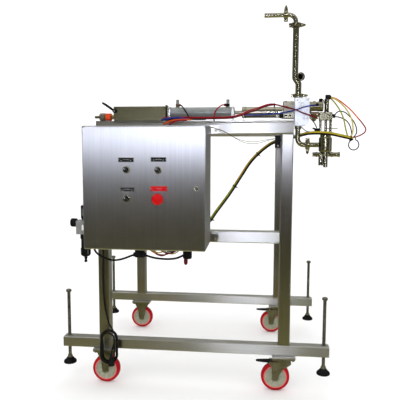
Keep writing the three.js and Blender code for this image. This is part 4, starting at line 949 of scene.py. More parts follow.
# latch with a slotted insert
x, z = -389, 919
b = B()
b.lathe("y", [(4.6, y0 - 0.6), (4.6, y0 - 2.4), (6.6, y0 - 2.9), (8.6, y0 - 2.8), (9.5, y0 - 1.6), (9.5, y0 - 0.35), (4.6, y0 - 0.35)], (x, z), "polish", 48, ring=True)
b.lathe("y", [(0, y0 - 1.2), (4.7, y0 - 1.2), (4.7, y0 - 0.4), (0, y0 - 0.4)], (x, z), "black", 32)
b.box(x - 0.9, x + 0.9, y0 - 2.4, y0 - 1.1, z - 4.0, z + 4.0, "polish_dark", 0.3)
b.cyl("y", 6.2, y0 - 0.5, y0 + 22.9, (x, z), "zinc", 24)
b.box(x - 7, x + 7, y0 + 19.6, y0 + 23, z - 8, z + 32, "zinc", 0.8)
b.make("door_latch_lock", "latch", ("door_latch",))

# mounting panel with devices
b = B()
b.box(-822, -382, -16, -13, 700, 1134, "panel", 0.4)
for px in (-806, -398):
    for pz in (716, 1118):
        b.cyl("y", 6, -14, -5.9, (px, pz), "zinc", 20)
        b.hexa("y", 6.2, -20, -16, (px, pz), "zinc")
# controller with terminals and lamps
b.box(-515, -415, -98, -15, 962, 1088, "device", 2.0)
for i in range(10):
    b.box(-511 + i * 9.6, -503.5 + i * 9.6, -100, -96, 1066, 1080, "black", 0.5)
    b.box(-511 + i * 9.6, -503.5 + i * 9.6, -100, -96, 968, 982, "black", 0.5)
for i in range(4):
    b.cyl("y", 2.0, -99.5, -97, (-450 + i * 8, 1040), "green_yel" if i < 2 else "red", 16, 0.5)
for dx0, n, wdt in ((-790, 8, 17.6), (-610, 4, 16.4)):
    for i in range(n):
        xa = dx0 + 1 + i * (150.0 / n if n == 8 else 17.2)
        b.box(xa, xa + wdt, -88 if n == 8 else -73, -21, 984, 1076, "device" if i % 3 else "white", 1.0)
        b.box(xa + 4, xa + wdt - 4, -90 if n == 8 else -75, -86 if n == 8 else -71, 1022, 1040, "black" if i % 2 else "orange", 0.6)
b.box(-790, -420, -22, -15, 905, 940, "zinc", 0.6)
for i in range(30):
    xa = -768 + i * 10.6
    b.box(xa, xa + 9.4, -61, -21, 897, 948, ("grey_cast", "green_yel", "blue", "device")[(0, 0, 0, 1, 3, 3, 2)[i % 7]], 0.6)
    b.cyl("y", 2.2, -62, -60, (xa + 4.7, 938), "zinc", 12, 0.3)
    b.cyl("y", 2.2, -62, -60, (xa + 4.7, 907), "zinc", 12, 0.3)
for z0, z1 in ((845, 880), (1092, 1126)):
    b.box(-800, -404, -74 if z0 < 900 else -60, -16, z0, z1, "duct", 1.0)
    for i in range(38):
        xa = -796 + i * 10.4
        b.box(xa, xa + 4.2, -74.8 if z0 < 900 else -60.8, -20, z0 - 0.5, z0 + 1, "black_soft", 0.1)
b.box(-790, -560, -68, -15, 764, 826, "alu_light", 1.5)
for i in range(8):
    xa = -782 + i * 27
    b.box(xa, xa + 22, -70, -60, 772, 818, "alu" if i % 2 else "device", 1.2)
    b.cyl("z", 4.2, 752, 764, (xa + 11, -42), "blue" if i % 2 else "black", 20)
b.box(-520, -420, -79, -15, 752, 838, "black", 2.0)
for i in range(9):
    b.box(-514 + i * 10, -509 + i * 10, -80, -76, 758, 832, "duct", 0.4)
# bundled wires from the devices up to the door
for i in range(5):
    b.sweep(smooth_run([(-560 + i * 5, -40, 940), (-552 + i * 5, -66 - i, 962), (-545 + i * 4, -50, 984)], 6), 1.5, ("red_tube", "blue", "black_tube", "green_yel", "grey_tube")[i], seg=8)
b.make("mounting_panel", "machine", ("control_panel",))

# ---------------------------------------------------------------- filter-regulator
b = B()
RX, RY = -882.5, -100
b.box(-917, -860.5, -123, -77, 711, 770, "grey_cast", 3.0, 3)
b.box(-906, -860, -125.0, -122, 722, 760, "grey_cast", 1.0)
b.cyl("x", 12, -860.3, -856.5, (RY, 741), "alu", 32)
b.box(-890, -875, -125.5, -122.5, 730, 752, "white", 0.5)
b.lathe("z", [(0, 770), (13.2, 770), (13.4, 777), (12, 778), (0, 778)], (RX, RY), "black", 36)
b.box(RX - 14, RX + 14, -115.5, -84.5, 777.5, 834.5, "black", 2.4, 3)
b.box(RX - 9, RX + 9, -116.6, -115, 790, 822, "glass", 0.6)
b.lathe("z", [(0, 709.5), (20.6, 709.5), (21.2, 707), (21.2, 692), (20.2, 689.6), (0, 689.6)], (RX, RY), "black", 56)
for k in range(24):
    a = 2 * math.pi * k / 24
    b.box(RX + 20.7 * math.cos(a) - 0.8, RX + 20.7 * math.cos(a) + 0.8, RY + 20.7 * math.sin(a) - 0.8, RY + 20.7 * math.sin(a) + 0.8, 693, 706.5, "black", 0.2)
bowl = [(0, 588), (5.8, 588), (6.4, 589.5), (6.4, 596), (5.2, 597), (5.2, 603), (6.6, 604), (6.6, 612.6), (12, 613.6), (17.2, 616.6), (20.4, 621), (21.4, 626), (21.4, 646), (20.4, 649.5), (18.9, 651), (18.4, 690), (0, 690)]
b.lathe("z", bowl, (RX, RY), "black", 56)
for k in range(4):
    a = math.pi / 4 + k * math.pi / 2
    cx_, cy_ = RX + 20.2 * math.cos(a), RY + 20.2 * math.sin(a)
    b.box(cx_ - 2.4, cx_ + 2.4, cy_ - 2.4, cy_ + 2.4, 625, 646, "glass", 1.2)
b.make("filter_regulator", "machine", ("regulator_body",))
b = B()
b.lathe("x", [(0, -944.6), (14.5, -944.6), (16.8, -943.2), (17.5, -941), (17.6, -922), (17.0, -919.6), (13, -918.5), (0, -918.5)], (RY, 759), "black", 56)
for k in range(28):
    a = 2 * math.pi * k / 28
    yy, zz = RY + 17.4 * math.cos(a), 759 + 17.4 * math.sin(a)
    b.sweep([(-941, yy, zz), (-922, yy, zz)], 0.85, "black", seg=8)
b.make("regulator_hand_knob", "regulator_knob", ("regulator_knob",))

# ---------------------------------------------------------------- below the enclosure: air hose, coupling, silencer, tube loops
b = B()
AIR = [(-845, -100, 666.5), (-845, -100, 652), (-840, -100, 636), (-826, -100, 622), (-799, -100, 608), (-767, -100, 599), (-738, -100, 601), (-710, -100, 609), (-685, -100, 619), (-666, -100, 626)]
b.sweep(smooth_run(AIR, 5), 4.3, "black_soft", seg=16)
AIR2 = [(-623, -100, 625), (-608, -100, 620), (-590, -100, 615), (-558, -100, 610.5), (-515, -100, 610), (-485, -100, 615), (-458, -100, 627)]
b.sweep(smooth_run(AIR2, 5), 4.3, "black_soft", seg=16)
b.lathe("z", [(0, 652), (7.6, 652), (8.4, 655), (8.4, 666.6), (0, 666.6)], (-845, -100), "black", 28)
b.box(-664.5, -624.5, -111.5, -88.5, 615, 647.5, "black", 3.0, 3)
b.cyl("x", 9.5, -672, -664, (-100, 626), "black", 32)
b.cyl("x", 9.5, -625, -617.5, (-100, 626), "black", 32)
b.box(-655, -634, -113.2, -111, 622, 640, "black_soft", 0.8)
b.cyl("z", 8, 646.5, 666.6, (-644, -100), "zinc_dark", 32)
# silencer
b.lathe("z", [(0, 613.5), (14, 613.5), (17.6, 615), (18.8, 619), (18.8, 652), (17, 655), (11, 656.5), (11, 666.6), (0, 666.6)], (-440, -100), "black", 48)
for z in range(622, 652, 4):
    b.band((-440, -100, z), (0, 0, 1), 18.3, 1.5, 0.8, "black_soft", 40)
b.lathe("z", [(0, 586.5), (3.8, 587), (6.8, 590.5), (8.2, 596), (8.4, 607), (7.4, 613.8), (0, 613.8)], (-447, -100), "maroon", 32)
b.make("air_supply_hose", "machine", ("air_hose",))
b = B()


def loop_under(xa, xb, depth, y, r, mat):
    n = 14
    pts = []
    for k in range(n + 1):
        s = k / n
        pts.append((xa + (xb - xa) * s, y + 6 * math.sin(math.pi * s), 665.5 - depth * math.sin(math.pi * s) ** 0.8 if 0 < s < 1 else 665.5))
    b.sweep(smooth_run(pts, 5), r, mat, seg=12)


loop_under(-610, -476, 34, -126, 2.3, "red_tube")
loop_under(-596, -520, 24, -132, 2.3, "yellow")
loop_under(-600, -498, 40, -118, 2.3, "black_tube")
loop_under(-560, -470, 26, -134, 2.3, "maroon")
loop_under(-548, -462, 30, -124, 2.3, "yellow_green")
loop_under(-530, -484, 18, -138, 2.3, "black_tube")
loop_under(-588, -512, 42, -110, 2.3, "maroon")
for x_, y_ in ((-610, -126), (-596, -132), (-600, -118), (-560, -134), (-548, -124), (-530, -138), (-588, -110), (-476, -126), (-520, -132), (-498, -118), (-470, -134), (-484, -138), (-512, -110)):
    b.cyl("z", 4.2, 657, 666.4, (x_, y_), "black", 20)
b.make("tube_loops", "machine")

# ---------------------------------------------------------------- filling head: cover, adjuster, lever
PZ = BEAM_TOP + 0.3
b = B()
x0, x1 = -777, -545.5
q = []
for (cx_, cz_, a0) in ((HEAD_Y + 28, 1255, 0), (HEAD_Y - 28, 1255, 90)):
    for i in range(6):
        a = math.radians(a0 + 90 * i / 5)
        q.append((cx_ + 3 * math.cos(a), cz_ + 3 * math.sin(a)))
prof = [(HEAD_Y + 31, PZ)] + q + [(HEAD_Y - 31, PZ), (HEAD_Y - 29, PZ)]
qi = []
for (cx_, cz_, a0) in ((HEAD_Y - 27.5, 1254.5, 90), (HEAD_Y + 27.5, 1254.5, 0)):
    for i in range(6):
        a = math.radians(a0 + 90 - 90 * i / 5)
        qi.append((cx_ + 1.5 * math.cos(a), cz_ + 1.5 * math.sin(a)))
prof += qi + [(HEAD_Y + 29, PZ)]
b.prism("x", prof, x0, x1, "guard", 0)
# end plates
b.prism("x", [(HEAD_Y - 30.6, PZ), (HEAD_Y + 30.6, PZ), (HEAD_Y + 30.6, 1253), (HEAD_Y + 27, 1257.5), (HEAD_Y - 27, 1257.5), (HEAD_Y - 30.6, 1253)], -777.2, -774.8, "guard", 0.5)
b.prism("x", rr(62, 67.4, 3, 4, (HEAD_Y, 1230.2)), -549, -545, "guard", 0.6)
b.pipe("x", 12, 8.6, -779.2, -777.0, (HEAD_Y, 1214), "zinc", 32)
for x in (-765, -560):
    for z in (1206,):
        b.hexa("y", 4.6, HEAD_Y - 33.6, HEAD_Y - 30.8, (x, z), "zinc")
b.make("tail_rod_cover", "machine", ("guard_box",))

b = B()
AZ = 1214
prof = [(0, -871), (4.6, -871), (6.0, -869.2)]
x = -868.8
while x < -850:
    prof += [(6.0, x), (6.0, x + 0.6), (5.3, x + 1.0), (5.3, x + 1.3)]
    x += 1.75
prof += [(6.0, -848.2), (0, -848.2)]
b.lathe("x", prof, (HEAD_Y, AZ), "zinc", 28)
b.lathe("x", [(0, -848.2), (13.5, -848.2), (16.2, -846.6), (17.1, -844.2), (17.1, -825.0), (16.0, -822.4), (13.0, -821), (0, -821)], (HEAD_Y, AZ), "zinc_dark", 56)
for k in range(30):
    a = 2 * math.pi * k / 30
    b.sweep([(-844, HEAD_Y + 16.9 * math.cos(a), AZ + 16.9 * math.sin(a)), (-825.2, HEAD_Y + 16.9 * math.cos(a), AZ + 16.9 * math.sin(a))], 0.55, "zinc_dark", seg=6)
b.cyl("x", 12.5, -821.2, -819.6, (HEAD_Y, AZ), "brass", 40)
b.lathe("x", [(0, -820), (15.2, -820), (16.6, -818.4), (16.6, -812), (15.6, -811), (15.6, -808), (16.6, -807), (16.6, -797.4), (15.4, -796), (0, -796)], (HEAD_Y, AZ), "orange", 56)
b.cyl("x", 10, -796.2, -787, (HEAD_Y, AZ), "brass", 40)
b.hexa("x", 12, -788, -780.2, (HEAD_Y, AZ), "brass")
b.cyl("x", 7.4, -781, -690.3, (HEAD_Y, AZ), "zinc", 32)
b.make("stroke_adjusting_screw", "stroke_adjuster", ("stroke_adjuster",))

b = B()
b.lathe("y", [(0, HEAD_Y - 47.6), (6.6, HEAD_Y - 47.6), (8.6, HEAD_Y - 45.8), (9.0, HEAD_Y - 43), (9.0, HEAD_Y - 31.6), (0, HEAD_Y - 31.6)], (-770, 1238), "black", 40)
b.cyl("y", 4.0, HEAD_Y - 48.0, HEAD_Y - 46.6, (-770, 1238), "zinc", 24, 0.4)
pts = [(-775.5, 1247), (-766.5, 1245.4), (-763.5, 1241), (-766, 1235), (-771.5, 1233.5), (-778, 1237.4), (-800, 1252.4), (-816, 1263.4), (-824, 1268.2), (-826, 1271.4), (-825, 1275), (-821.6, 1276), (-816, 1274), (-800, 1264.6)]
b.prism("y", pts, HEAD_Y - 45.6, HEAD_Y - 36.4, "black", 2.2)
b.make("clamping_lever", "lock_lever", ("lock_lever",))

# ---------------------------------------------------------------- air cylinder and rods
b = B()
b.pipe("x", 23.2, 20.0, -530, -264, (HEAD_Y, HEAD_Z), "alu", 72, 0.3)
for dy in (-9.0, 9.0):
    for dz in (21.6,):
        pass
for xa, xb in ((-541, -529), (-265, -254.6)):
    b.prism("x", rr(49.4, 49.4, 8, 6, (HEAD_Y, HEAD_Z)), xa, xb, "alu_light", 1.0)
    b.box(xa + 0.3, xb - 0.3, HEAD_Y - 24, HEAD_Y + 24, PZ, HEAD_Z, "alu_light", 0.8)
for dy in (-18.2, 18.2):
    for dz in (-18.2, 18.2):
        b.hexa("x", 4.4, -544.6 if False else -541.6, -540.6, (HEAD_Y + dy, HEAD_Z + dz), "zinc_dark")
        b.hexa("x", 4.2, -254.8, -252.6, (HEAD_Y + dy, HEAD_Z + dz), "zinc_dark")
b.pipe("x", 14.5, 9.2, -254.8, -250.6, (HEAD_Y, HEAD_Z), "alu_light", 48)
b.pipe("x", 9.2, 8.2, -253.2, -250.2, (HEAD_Y, HEAD_Z), "black_soft", 40, 0.3)
for dy in (-23.0, -17.5):
    b.box(-528, -266, HEAD_Y + dy, HEAD_Y + dy + 0.8, HEAD_Z - 1 - 14 * (dy > -20), HEAD_Z + 1 - 14 * (dy > -20), "alu_light", 0.2)
b.make("air_cylinder_body", "machine", ("air_cylinder",))

b = B()
b.cyl("x", 5.9, -659.8, -409, (HEAD_Y, HEAD_Z), "polish", 32)
b.cyl("x", 19.0, -410, -390, (HEAD_Y, HEAD_Z), "alu_light", 48)
b.cyl("x", 7.9, -391, -170.4, (HEAD_Y, HEAD_Z), "polish", 48, 0.8)
b.hexa("x", 9.0, -659.8, -652, (HEAD_Y, HEAD_Z), "zinc")
b.make("drive_rod", "piston", ("piston_rod",))
b = B()
b.lathe("x", [(0, -169.9), (14, -169.9), (14, -166), (18.0, -166), (18.0, -157), (16.6, -156), (16.6, -151), (18.0, -150), (18.0, -142), (12, -139), (0, -139)], (HEAD_Y, HEAD_Z), "ptfe", 56)
b.band((-153.5, HEAD_Y, HEAD_Z), (1, 0, 0), 16.2, 3.4, 1.6, "black_soft", 48)
b.make("product_piston_seals", "piston", ("product_piston",))


def flow_control(b, x, z0, turn, tip, elbow_mat="black"):
    """Banjo flow control: threaded stem, body, silver adjusting knob, side elbow."""
    b.cyl("z", 5.0, z0 - 3, z0 + 3, (x, HEAD_Y), "zinc", 28)
    b.hexa("z", 8.4, z0 + 1.0, z0 + 5.0, (x, HEAD_Y), "zinc")
    b.lathe("z", [(0, z0 + 5), (7.6, z0 + 5), (8.2, z0 + 6.2), (8.2, z0 + 15), (7.0, z0 + 16.5), (0, z0 + 16.5)], (x, HEAD_Y), elbow_mat, 36)
    b.lathe("z", [(0, z0 + 16.2), (5.6, z0 + 16.2), (6.4, z0 + 17.2), (6.4, tip - 1.4), (5.2, tip), (0, tip)], (x, HEAD_Y), "alu_light", 36)
    for k in range(16):
        a = 2 * math.pi * k / 16
        b.sweep([(x + 6.3 * math.cos(a), HEAD_Y + 6.3 * math.sin(a), z0 + 18), (x + 6.3 * math.cos(a), HEAD_Y + 6.3 * math.sin(a), tip - 1.8)], 0.5, "alu_light", seg=6)
    dx, dy = math.cos(turn), math.sin(turn)
    a0 = Vector((x, HEAD_Y, z0 + 10.5))
    b.sweep([a0, a0 + Vector((dx * 13, dy * 13, 0)), a0 + Vector((dx * 18, dy * 18, 0))], 6.2, elbow_mat, seg=20, radii=[6.0, 6.2, 5.4])
    b.sweep([a0 + Vector((dx * 17.6, dy * 17.6, 0)), a0 + Vector((dx * 19.6, dy * 19.6, 0))], 4.2, "red", seg=20)
    return a0 + Vector((dx * 18.4, dy * 18.4, 0))


b = B()
fc1 = flow_control(b, -500, 1253, math.radians(-48), 1288, "zinc_dark")
fc2 = flow_control(b, -281, 1253, math.radians(-140), 1288, "black")
b.make("flow_controls", "machine")

# ---------------------------------------------------------------- metering cylinder
b = B()
b.pipe("x", 23.2, 19.0, -211, -44, (HEAD_Y, HEAD_Z), "polish", 96, 0.3)
b.lathe("x", [(9.2, -220.4), (23.4, -220.4), (24.4, -218.6), (24.4, -211.4), (23.6, -209.6), (9.2, -209.6)], (HEAD_Y, HEAD_Z), "polish", 64, ring=True)
b.lathe("x", [(22.8, -208), (24.6, -207), (25.0, -204.6), (24.4, -202.6), (22.8, -202)], (HEAD_Y, HEAD_Z), "polish_dark", 64, ring=True)
b.box(-213.6, -211.2, HEAD_Y - 22, HEAD_Y + 22, PZ, HEAD_Z, "polish", 0.6)
b.box(-45.5, 1.8, HEAD_Y - 25.6, HEAD_Y + 25.6, PZ + 7.2, 1275.6, "coupling", 1.6, 3)
# stacked fittings on the front of the coupling block
for x_, z_, r_, m_ in ((-34, 1216, 8.5, "polish"), (-17, 1216, 8.0, "polish_dark"), (-5.5, 1221, 6.5, "polish"), (-34, 1250, 5.0, "polish_dark"), (-10, 1262, 4.4, "polish_dark")):
    b.hexa("y", r_, HEAD_Y - 33.5, HEAD_Y - 25.4, (x_, z_), m_)
    b.cyl("y", r_ * 0.62, HEAD_Y - 37.5, HEAD_Y - 33, (x_, z_), "black" if r_ > 6.6 else "zinc_dark", 28)
b.lathe("x", [(0, -62), (7.5, -62), (8.8, -60), (8.8, -52), (10.5, -51), (10.5, -45.6), (0, -45.6)], (HEAD_Y - 20, 1214), "black", 32)
b.lathe("x", [(0, -76), (6.0, -76), (7.0, -74), (7.0, -62), (0, -62)], (HEAD_Y - 20, 1214), "alu_light", 32)
for z_ in (1272.5,):
    b.hexa("z", 5.0, 1275.4, 1279.5, (-34, HEAD_Y), "zinc")
    b.hexa("z", 5.0, 1275.4, 1279.5, (-10, HEAD_Y), "zinc")
b.make("metering_cylinder_body", "machine", ("metering_cylinder",))

# ---------------------------------------------------------------- valve block and actuator
b = B()
BX0, BX1 = 2.3, 62.9
b.prism("y", [(BX0, 1290), (BX1, 1290), (BX1, 1194), (47, 1173.6), (BX0, 1173.6)], HEAD_Y - 30, HEAD_Y + 30, "block", 1.2)
for x_, z_ in ((11, 1281), (54, 1281), (11, 1184), (54, 1204)):
    b.lathe("y", [(0, HEAD_Y - 31.2), (3.4, HEAD_Y - 31.2), (3.9, HEAD_Y - 30.7), (3.9, HEAD_Y - 29.8), (0, HEAD_Y - 29.8)], (x_, z_), "polish", 32)
b.pipe("y", 8.5, 5.0, HEAD_Y - 31.0, HEAD_Y - 29.8, (33, 1262), "polish", 40)
b.box(24, 42, HEAD_Y - 30.7, HEAD_Y - 29.8, 1226, 1240, "block", 0.3)
b.make("valve_body", "machine", ("valve_block",))
b = B()
b.lathe("x", [(0, 26), (11.2, 26), (11.2, 34), (6, 35), (6, 43), (11.2, 44), (11.2, 54), (5, 54.6), (5, 99.8), (0, 99.8)], (HEAD_Y, 1255), "ptfe", 40)
b.make("valve_spool_piece", "spool", ("valve_spool",))
b = B()
b.lathe("x", [(5.8, 63.4), (19.4, 63.4), (20.8, 64.6), (20.8, 71), (19.6, 72), (19.6, 97), (20.8, 98), (20.8, 119.6), (19.4, 121.2), (5.8, 121.2)], (HEAD_Y, 1255), "polish_dark", 64, ring=True)
b.cyl("x", 6.4, 118, 121.4, (HEAD_Y, 1255), "zinc_dark", 32)
b.cyl("z", 7.8, 1271, 1287.2, (111, HEAD_Y), "black", 32, 1.2)
b.hexa("z", 7.0, 1266, 1272, (111, HEAD_Y), "zinc")
b.hexa("z", 6.2, 1272, 1277, (84, HEAD_Y), "zinc")
b.sweep(filleted([(97, HEAD_Y - 10, 1262), (97, HEAD_Y - 27, 1262), (90, HEAD_Y - 30, 1262)], 5), 4.8, "black", seg=18)
b.make("valve_drive", "machine", ("valve_actuator",))


# ---------------------------------------------------------------- clamps
def clamp_ring(b, center, axis, bolt, r=19.5, w=15.0, mat="polish_dark"):
    """Two-piece clamp with V rims, hinge block, swing bolt and wing nut."""
    a, bo = Vector(axis), Vector(bolt)
    c = a.cross(bo)
    ctr = Vector(center)

    def T(u, v, t):
        return tuple(ctr + bo * u + c * v + a * t)
    seg = 72
    prof = [(r - 3.5, -w / 2), (r + 0.6, -w / 2), (r + 2.2, -w / 2 + 1.4), (r + 2.4, -w / 6), (r + 1.5, 0), (r + 2.4, w / 6), (r + 2.2, w / 2 - 1.4), (r + 0.6, w / 2), (r - 3.5, w / 2)]
    n = len(prof)
    verts, faces = [], []
    for k in range(seg):
        an = 2 * math.pi * k / seg
        for rr_, t in prof:
            verts.append(T(rr_ * math.cos(an), rr_ * math.sin(an), t))
    for k in range(seg):
        k2 = (k + 1) % seg
        for i in range(n):
            j = (i + 1) % n
            faces.append([k * n + i, k2 * n + i, k2 * n + j, k * n + j])
    bm = bmesh.new()
    vs = [bm.verts.new(v) for v in verts]
    for f in faces:
        bm.faces.new([vs[i] for i in f])
    bmesh.ops.recalc_face_normals(bm, faces=bm.faces)
    b._bm(bm, mat)

    def blockl(u0, u1, v0, v1, t0, t1, m, bev=1.0):
        sub = B()
        sub.box(u0, u1, v0, v1, t0, t1, m, bev)
        b.add([T(*p) for p in sub.v], sub.f, m)
    blockl(-r - 10, -r + 1, -6.5, 6.5, -w / 2 + 1, w / 2 - 1, mat, 1.8)
    blockl(r - 1, r + 7.5, -7.5, -2.2, -w / 2 + 1, w / 2 - 1, mat, 1.2)
    blockl(r - 1, r + 7.5, 2.2, 7.5, -w / 2 + 1, w / 2 - 1, mat, 1.2)
    b.sweep([T(r - 4, 0, 0), T(r + 8, 0, 0), T(r + 20.6, 0, 0)], 3.1, "zinc", seg=16)
    b.sweep([T(-r - 5.5, 0, -w / 2 - 0.6), T(-r - 5.5, 0, w / 2 + 0.6)], 2.5, "zinc", seg=16)
    b.sweep([T(r + 8, 0, 0), T(r + 12, 0, 0), T(r + 16.6, 0, 0)], 6, "polish", seg=28, radii=[6.4, 6.4, 4.8])
    # wings, curved outward
    for sg in (-1, 1):
        pts = [T(r + 12.5, sg * 3.0, 0), T(r + 14.5, sg * 7.0, 0), T(r + 17.2, sg * 10.6, 0), T(r + 18.4, sg * 12.2, 0)]
        b.sweep(smooth_run(pts, 1.5), 2.4, "polish", seg=12, radii=None)


b = B()
zz0 = 1290.3
PX, RXR = 17.0, 2.5
b.pipe("z", 16.6, 10.3, zz0, zz0 + 8, (PX, HEAD_Y), "polish", 56)
run = filleted([(PX, HEAD_Y, zz0 + 4), (PX, HEAD_Y, 1352), (RXR, HEAD_Y, 1374), (RXR, HEAD_Y, 1391.8)], 14, 12)
b.sweep(run, 12.6, "polish_dark", seg=48, ri=10.4)
d = Vector((0.40, -0.9165, 0)).normalized()
p0 = Vector((PX - 4, HEAD_Y, 1377))
b.sweep([p0 + d * 6, p0 + d * 27.5], 12.6, "polish_dark", seg=48, ri=11.3)
b.sweep([p0 + d * 26.8, p0 + d * 27.6, p0 + d * 30.6, p0 + d * 31.4], 17.6, "polish", seg=72, ri=13.2, radii=[16.6, 17.6, 17.6, 17.0])
b.sweep([p0 + d * 5.5, p0 + d * 7.5], 11.2, "black_soft", seg=40)
clamp_ring(b, (PX, HEAD_Y, zz0 + 11), (0, 0, 1), (1, 0, 0), 19.5, 14)
b.make("inlet_pipe", "machine", ("inlet_tee",))

b = B()
b.pipe("z", 12.6, 10.8, 1392.3, 1591.6, (RXR, HEAD_Y), "polish_dark", 72)
b.pipe("z", 15.1, 10.8, 1588.2, 1591.6, (RXR, HEAD_Y), "polish", 56)
b.pipe("z", 13.1, 12.2, 1391.8 + 0.6, 1394.0, (RXR, HEAD_Y), "weld", 48)
b.make("riser", "machine", ("riser_pipe",))

b = B()
xe = RXR - 1.5
run = filleted([(xe, HEAD_Y, 1592), (xe, HEAD_Y, 1634.5), (-130, HEAD_Y, 1634.5)], 29, 20)
b.sweep(run, 9.45, "polish", seg=56, ri=7.8)
b.pipe("z", 15.1, 8.0, 1592.1, 1595.8, (xe, HEAD_Y), "polish", 56)
b.pipe("x", 13.4, 8.0, -44.4, -36.6, (HEAD_Y, 1634.5), "polish", 56)
b.make("top_bend", "machine", ("top_elbow",))
b = B()
clamp_ring(b, (RXR - 0.8, HEAD_Y, 1592), (0, 0, 1), (1, 0, 0), 19.3, 16.6)
b.make("riser_clamp", "machine", ("clamp_riser",))
b = B()
clamp_ring(b, (-40.5, HEAD_Y, 1634.5), (1, 0, 0), (0, 0, 1), 17.4, 16.6)
b.make("top_clamp", "machine", ("clamp_top",))

# ---------------------------------------------------------------- outlet and nozzle
b = B()
run = filleted([(18, HEAD_Y, 1173.0), (18, HEAD_Y, NOZ_Z), (106, HEAD_Y, NOZ_Z)], 27, 20)
b.sweep(run, 10.4, "polish_dark", seg=48, ri=7.6)
b.pipe("z", 13.8, 7.6, 1159.4, 1173.0, (18, HEAD_Y), "polish_dark", 48)
b.pipe("x", 14.8, 7.6, 57.2, 62.8, (HEAD_Y, NOZ_Z), "polish", 48)
b.make("outlet_bend", "machine", ("outlet_elbow",))
b = B()
clamp_ring(b, (60, HEAD_Y, NOZ_Z), (1, 0, 0), (0, 0, -1), 19.3, 16.6)
b.make("outlet_clamp", "machine", ("clamp_outlet",))

b = B()
x, y = NOZ_X, HEAD_Y
b.lathe("z", [(0, 1062.2), (19, 1062.2), (24, 1065), (27, 1068.6), (27.2, 1071), (27.2, 1121), (26.4, 1123.4), (22.2, 1126.4), (22.2, 1146), (0, 1146)], (x, y), "polish_dark", 80)
for z_ in (1078, 1112):
    b.lathe("z", [(26.8, z_ - 1.6), (27.6, z_ - 0.8), (27.6, z_ + 0.8), (26.8, z_ + 1.6)], (x, y), "polish", 72, ring=True)
b.pipe("x", 9.4, 6.0, 82.2, 186, (y, 1053), "polish_dark", 48)
b.lathe("x", [(6.0, 184.0), (9.0, 184.0), (12.2, 194.0), (12.4, 195.4), (6.0, 195.4)], (y, 1053), "polish", 56, ring=True)
b.pipe("x", 12.0, 9.0, 160.5, 165.5, (y, 1053), "zinc_dark", 40)
b.pipe("x", 11.6, 9.0, 96, 101, (y, 1053), "zinc_dark", 40)
b.pipe("z", 10.4, 7.5, 1006.2, 1053, (117.5, y), "polish", 56)
b.pipe("z", 9.1, 6.0, 998.2, 1053, (137, y), "polish", 56)
b.pipe("z", 11.0, 9.8, 1030, 1034, (117.5, y), "polish_dark", 48)
b.cyl("z", 15.8, 1050.2, 1064, (x, y), "polish_dark", 48)
for dx in (112, 154):
    for dy in (-12, 12):
        b.cyl("z", 3.9, 1140, 1198, (dx, y + dy), "polish", 28)
        b.hexa("z", 5.6, 1146.8, 1151, (dx, y + dy), "zinc")
        b.hexa("z", 5.4, 1193, 1197.2, (dx, y + dy), "zinc")
b.box(106.6, 159.4, y - 18, y + 18, 1139.2, 1146.9, "polish_dark", 1.0)
b.box(106.6, 158.4, y - 20, y + 20, 1197.1, 1229.9, "polish_dark", 1.6, 3)
b.lathe("z", [(7.3, 1229.5), (10.2, 1229.5), (10.2, 1236), (9.4, 1237), (9.4, 1279), (10.2, 1280), (10.2, 1285.8), (7.3, 1285.8)], (136.5, y), "polish_dark", 56, ring=True)
b.box(130.2, 151.2, y - 7.8, y + 7.8, 1284.2, 1303.2, "black", 2.2, 3)
b.sweep([(148, y, 1293), (153.4, y, 1293)], 5.6, "black", seg=24)
b.box(157.2, 172.6, y - 7.6, y + 7.6, 1207.2, 1222.8, "black", 1.6, 3)
b.lathe("x", [(0, 64), (12.5, 64), (13.2, 66), (13.2, 72), (10.8, 76), (10.8, 104), (8.0, 106), (0, 106)], (y, 1221.5), "copper", 48)
# tapered fitting with hose barb
b.lathe("z", [(0, 1193), (5.5, 1193), (6.5, 1196), (9.5, 1201), (12.8, 1206), (13.0, 1213), (9, 1215), (0, 1215)], (85, y - 8), "polish_dark", 40)
# wing knob of the stem lock
b.cyl("x", 6.2, 88, 107.5, (y, 1157.5), "black", 32)
for sg in (-1, 1):
    b.sweep([(96 - sg * 2, y - 2, 1157.5), (96 - sg * 11, y - 4, 1157.5 + sg * 5.0), (96 - sg * 16.5, y - 5, 1157.5 + sg * 6.5)], 3.6, "black", seg=16, radii=[4.6, 3.9, 2.8])
b.cyl("y", 3.0, y - 25, y - 19.8, (120, 1213), "zinc", 20)
b.cyl("y", 3.0, y - 25, y - 19.8, (146, 1213), "zinc", 20)
b.make("nozzle", "machine", ("nozzle_body",))
b = B()
b.lathe("z", [(0, 1074), (9, 1074), (11, 1078), (11, 1086), (5.8, 1092), (5.8, 1195), (4.5, 1200), (4.5, 1239.8), (0, 1239.8)], (x, y), "polish", 40)
b.cyl("x", 1.7, x, 184, (y, 1163), "zinc", 20)
b.make("nozzle_needle", "nozzle_stem", ("nozzle_stem",))


# ---------------------------------------------------------------- hoses and cables
def strand(b, pts, r, mat, seg=12, step=6.0):
    run = smooth_run(pts, step)
    b.sweep(run, r, mat, seg=seg)
    return run


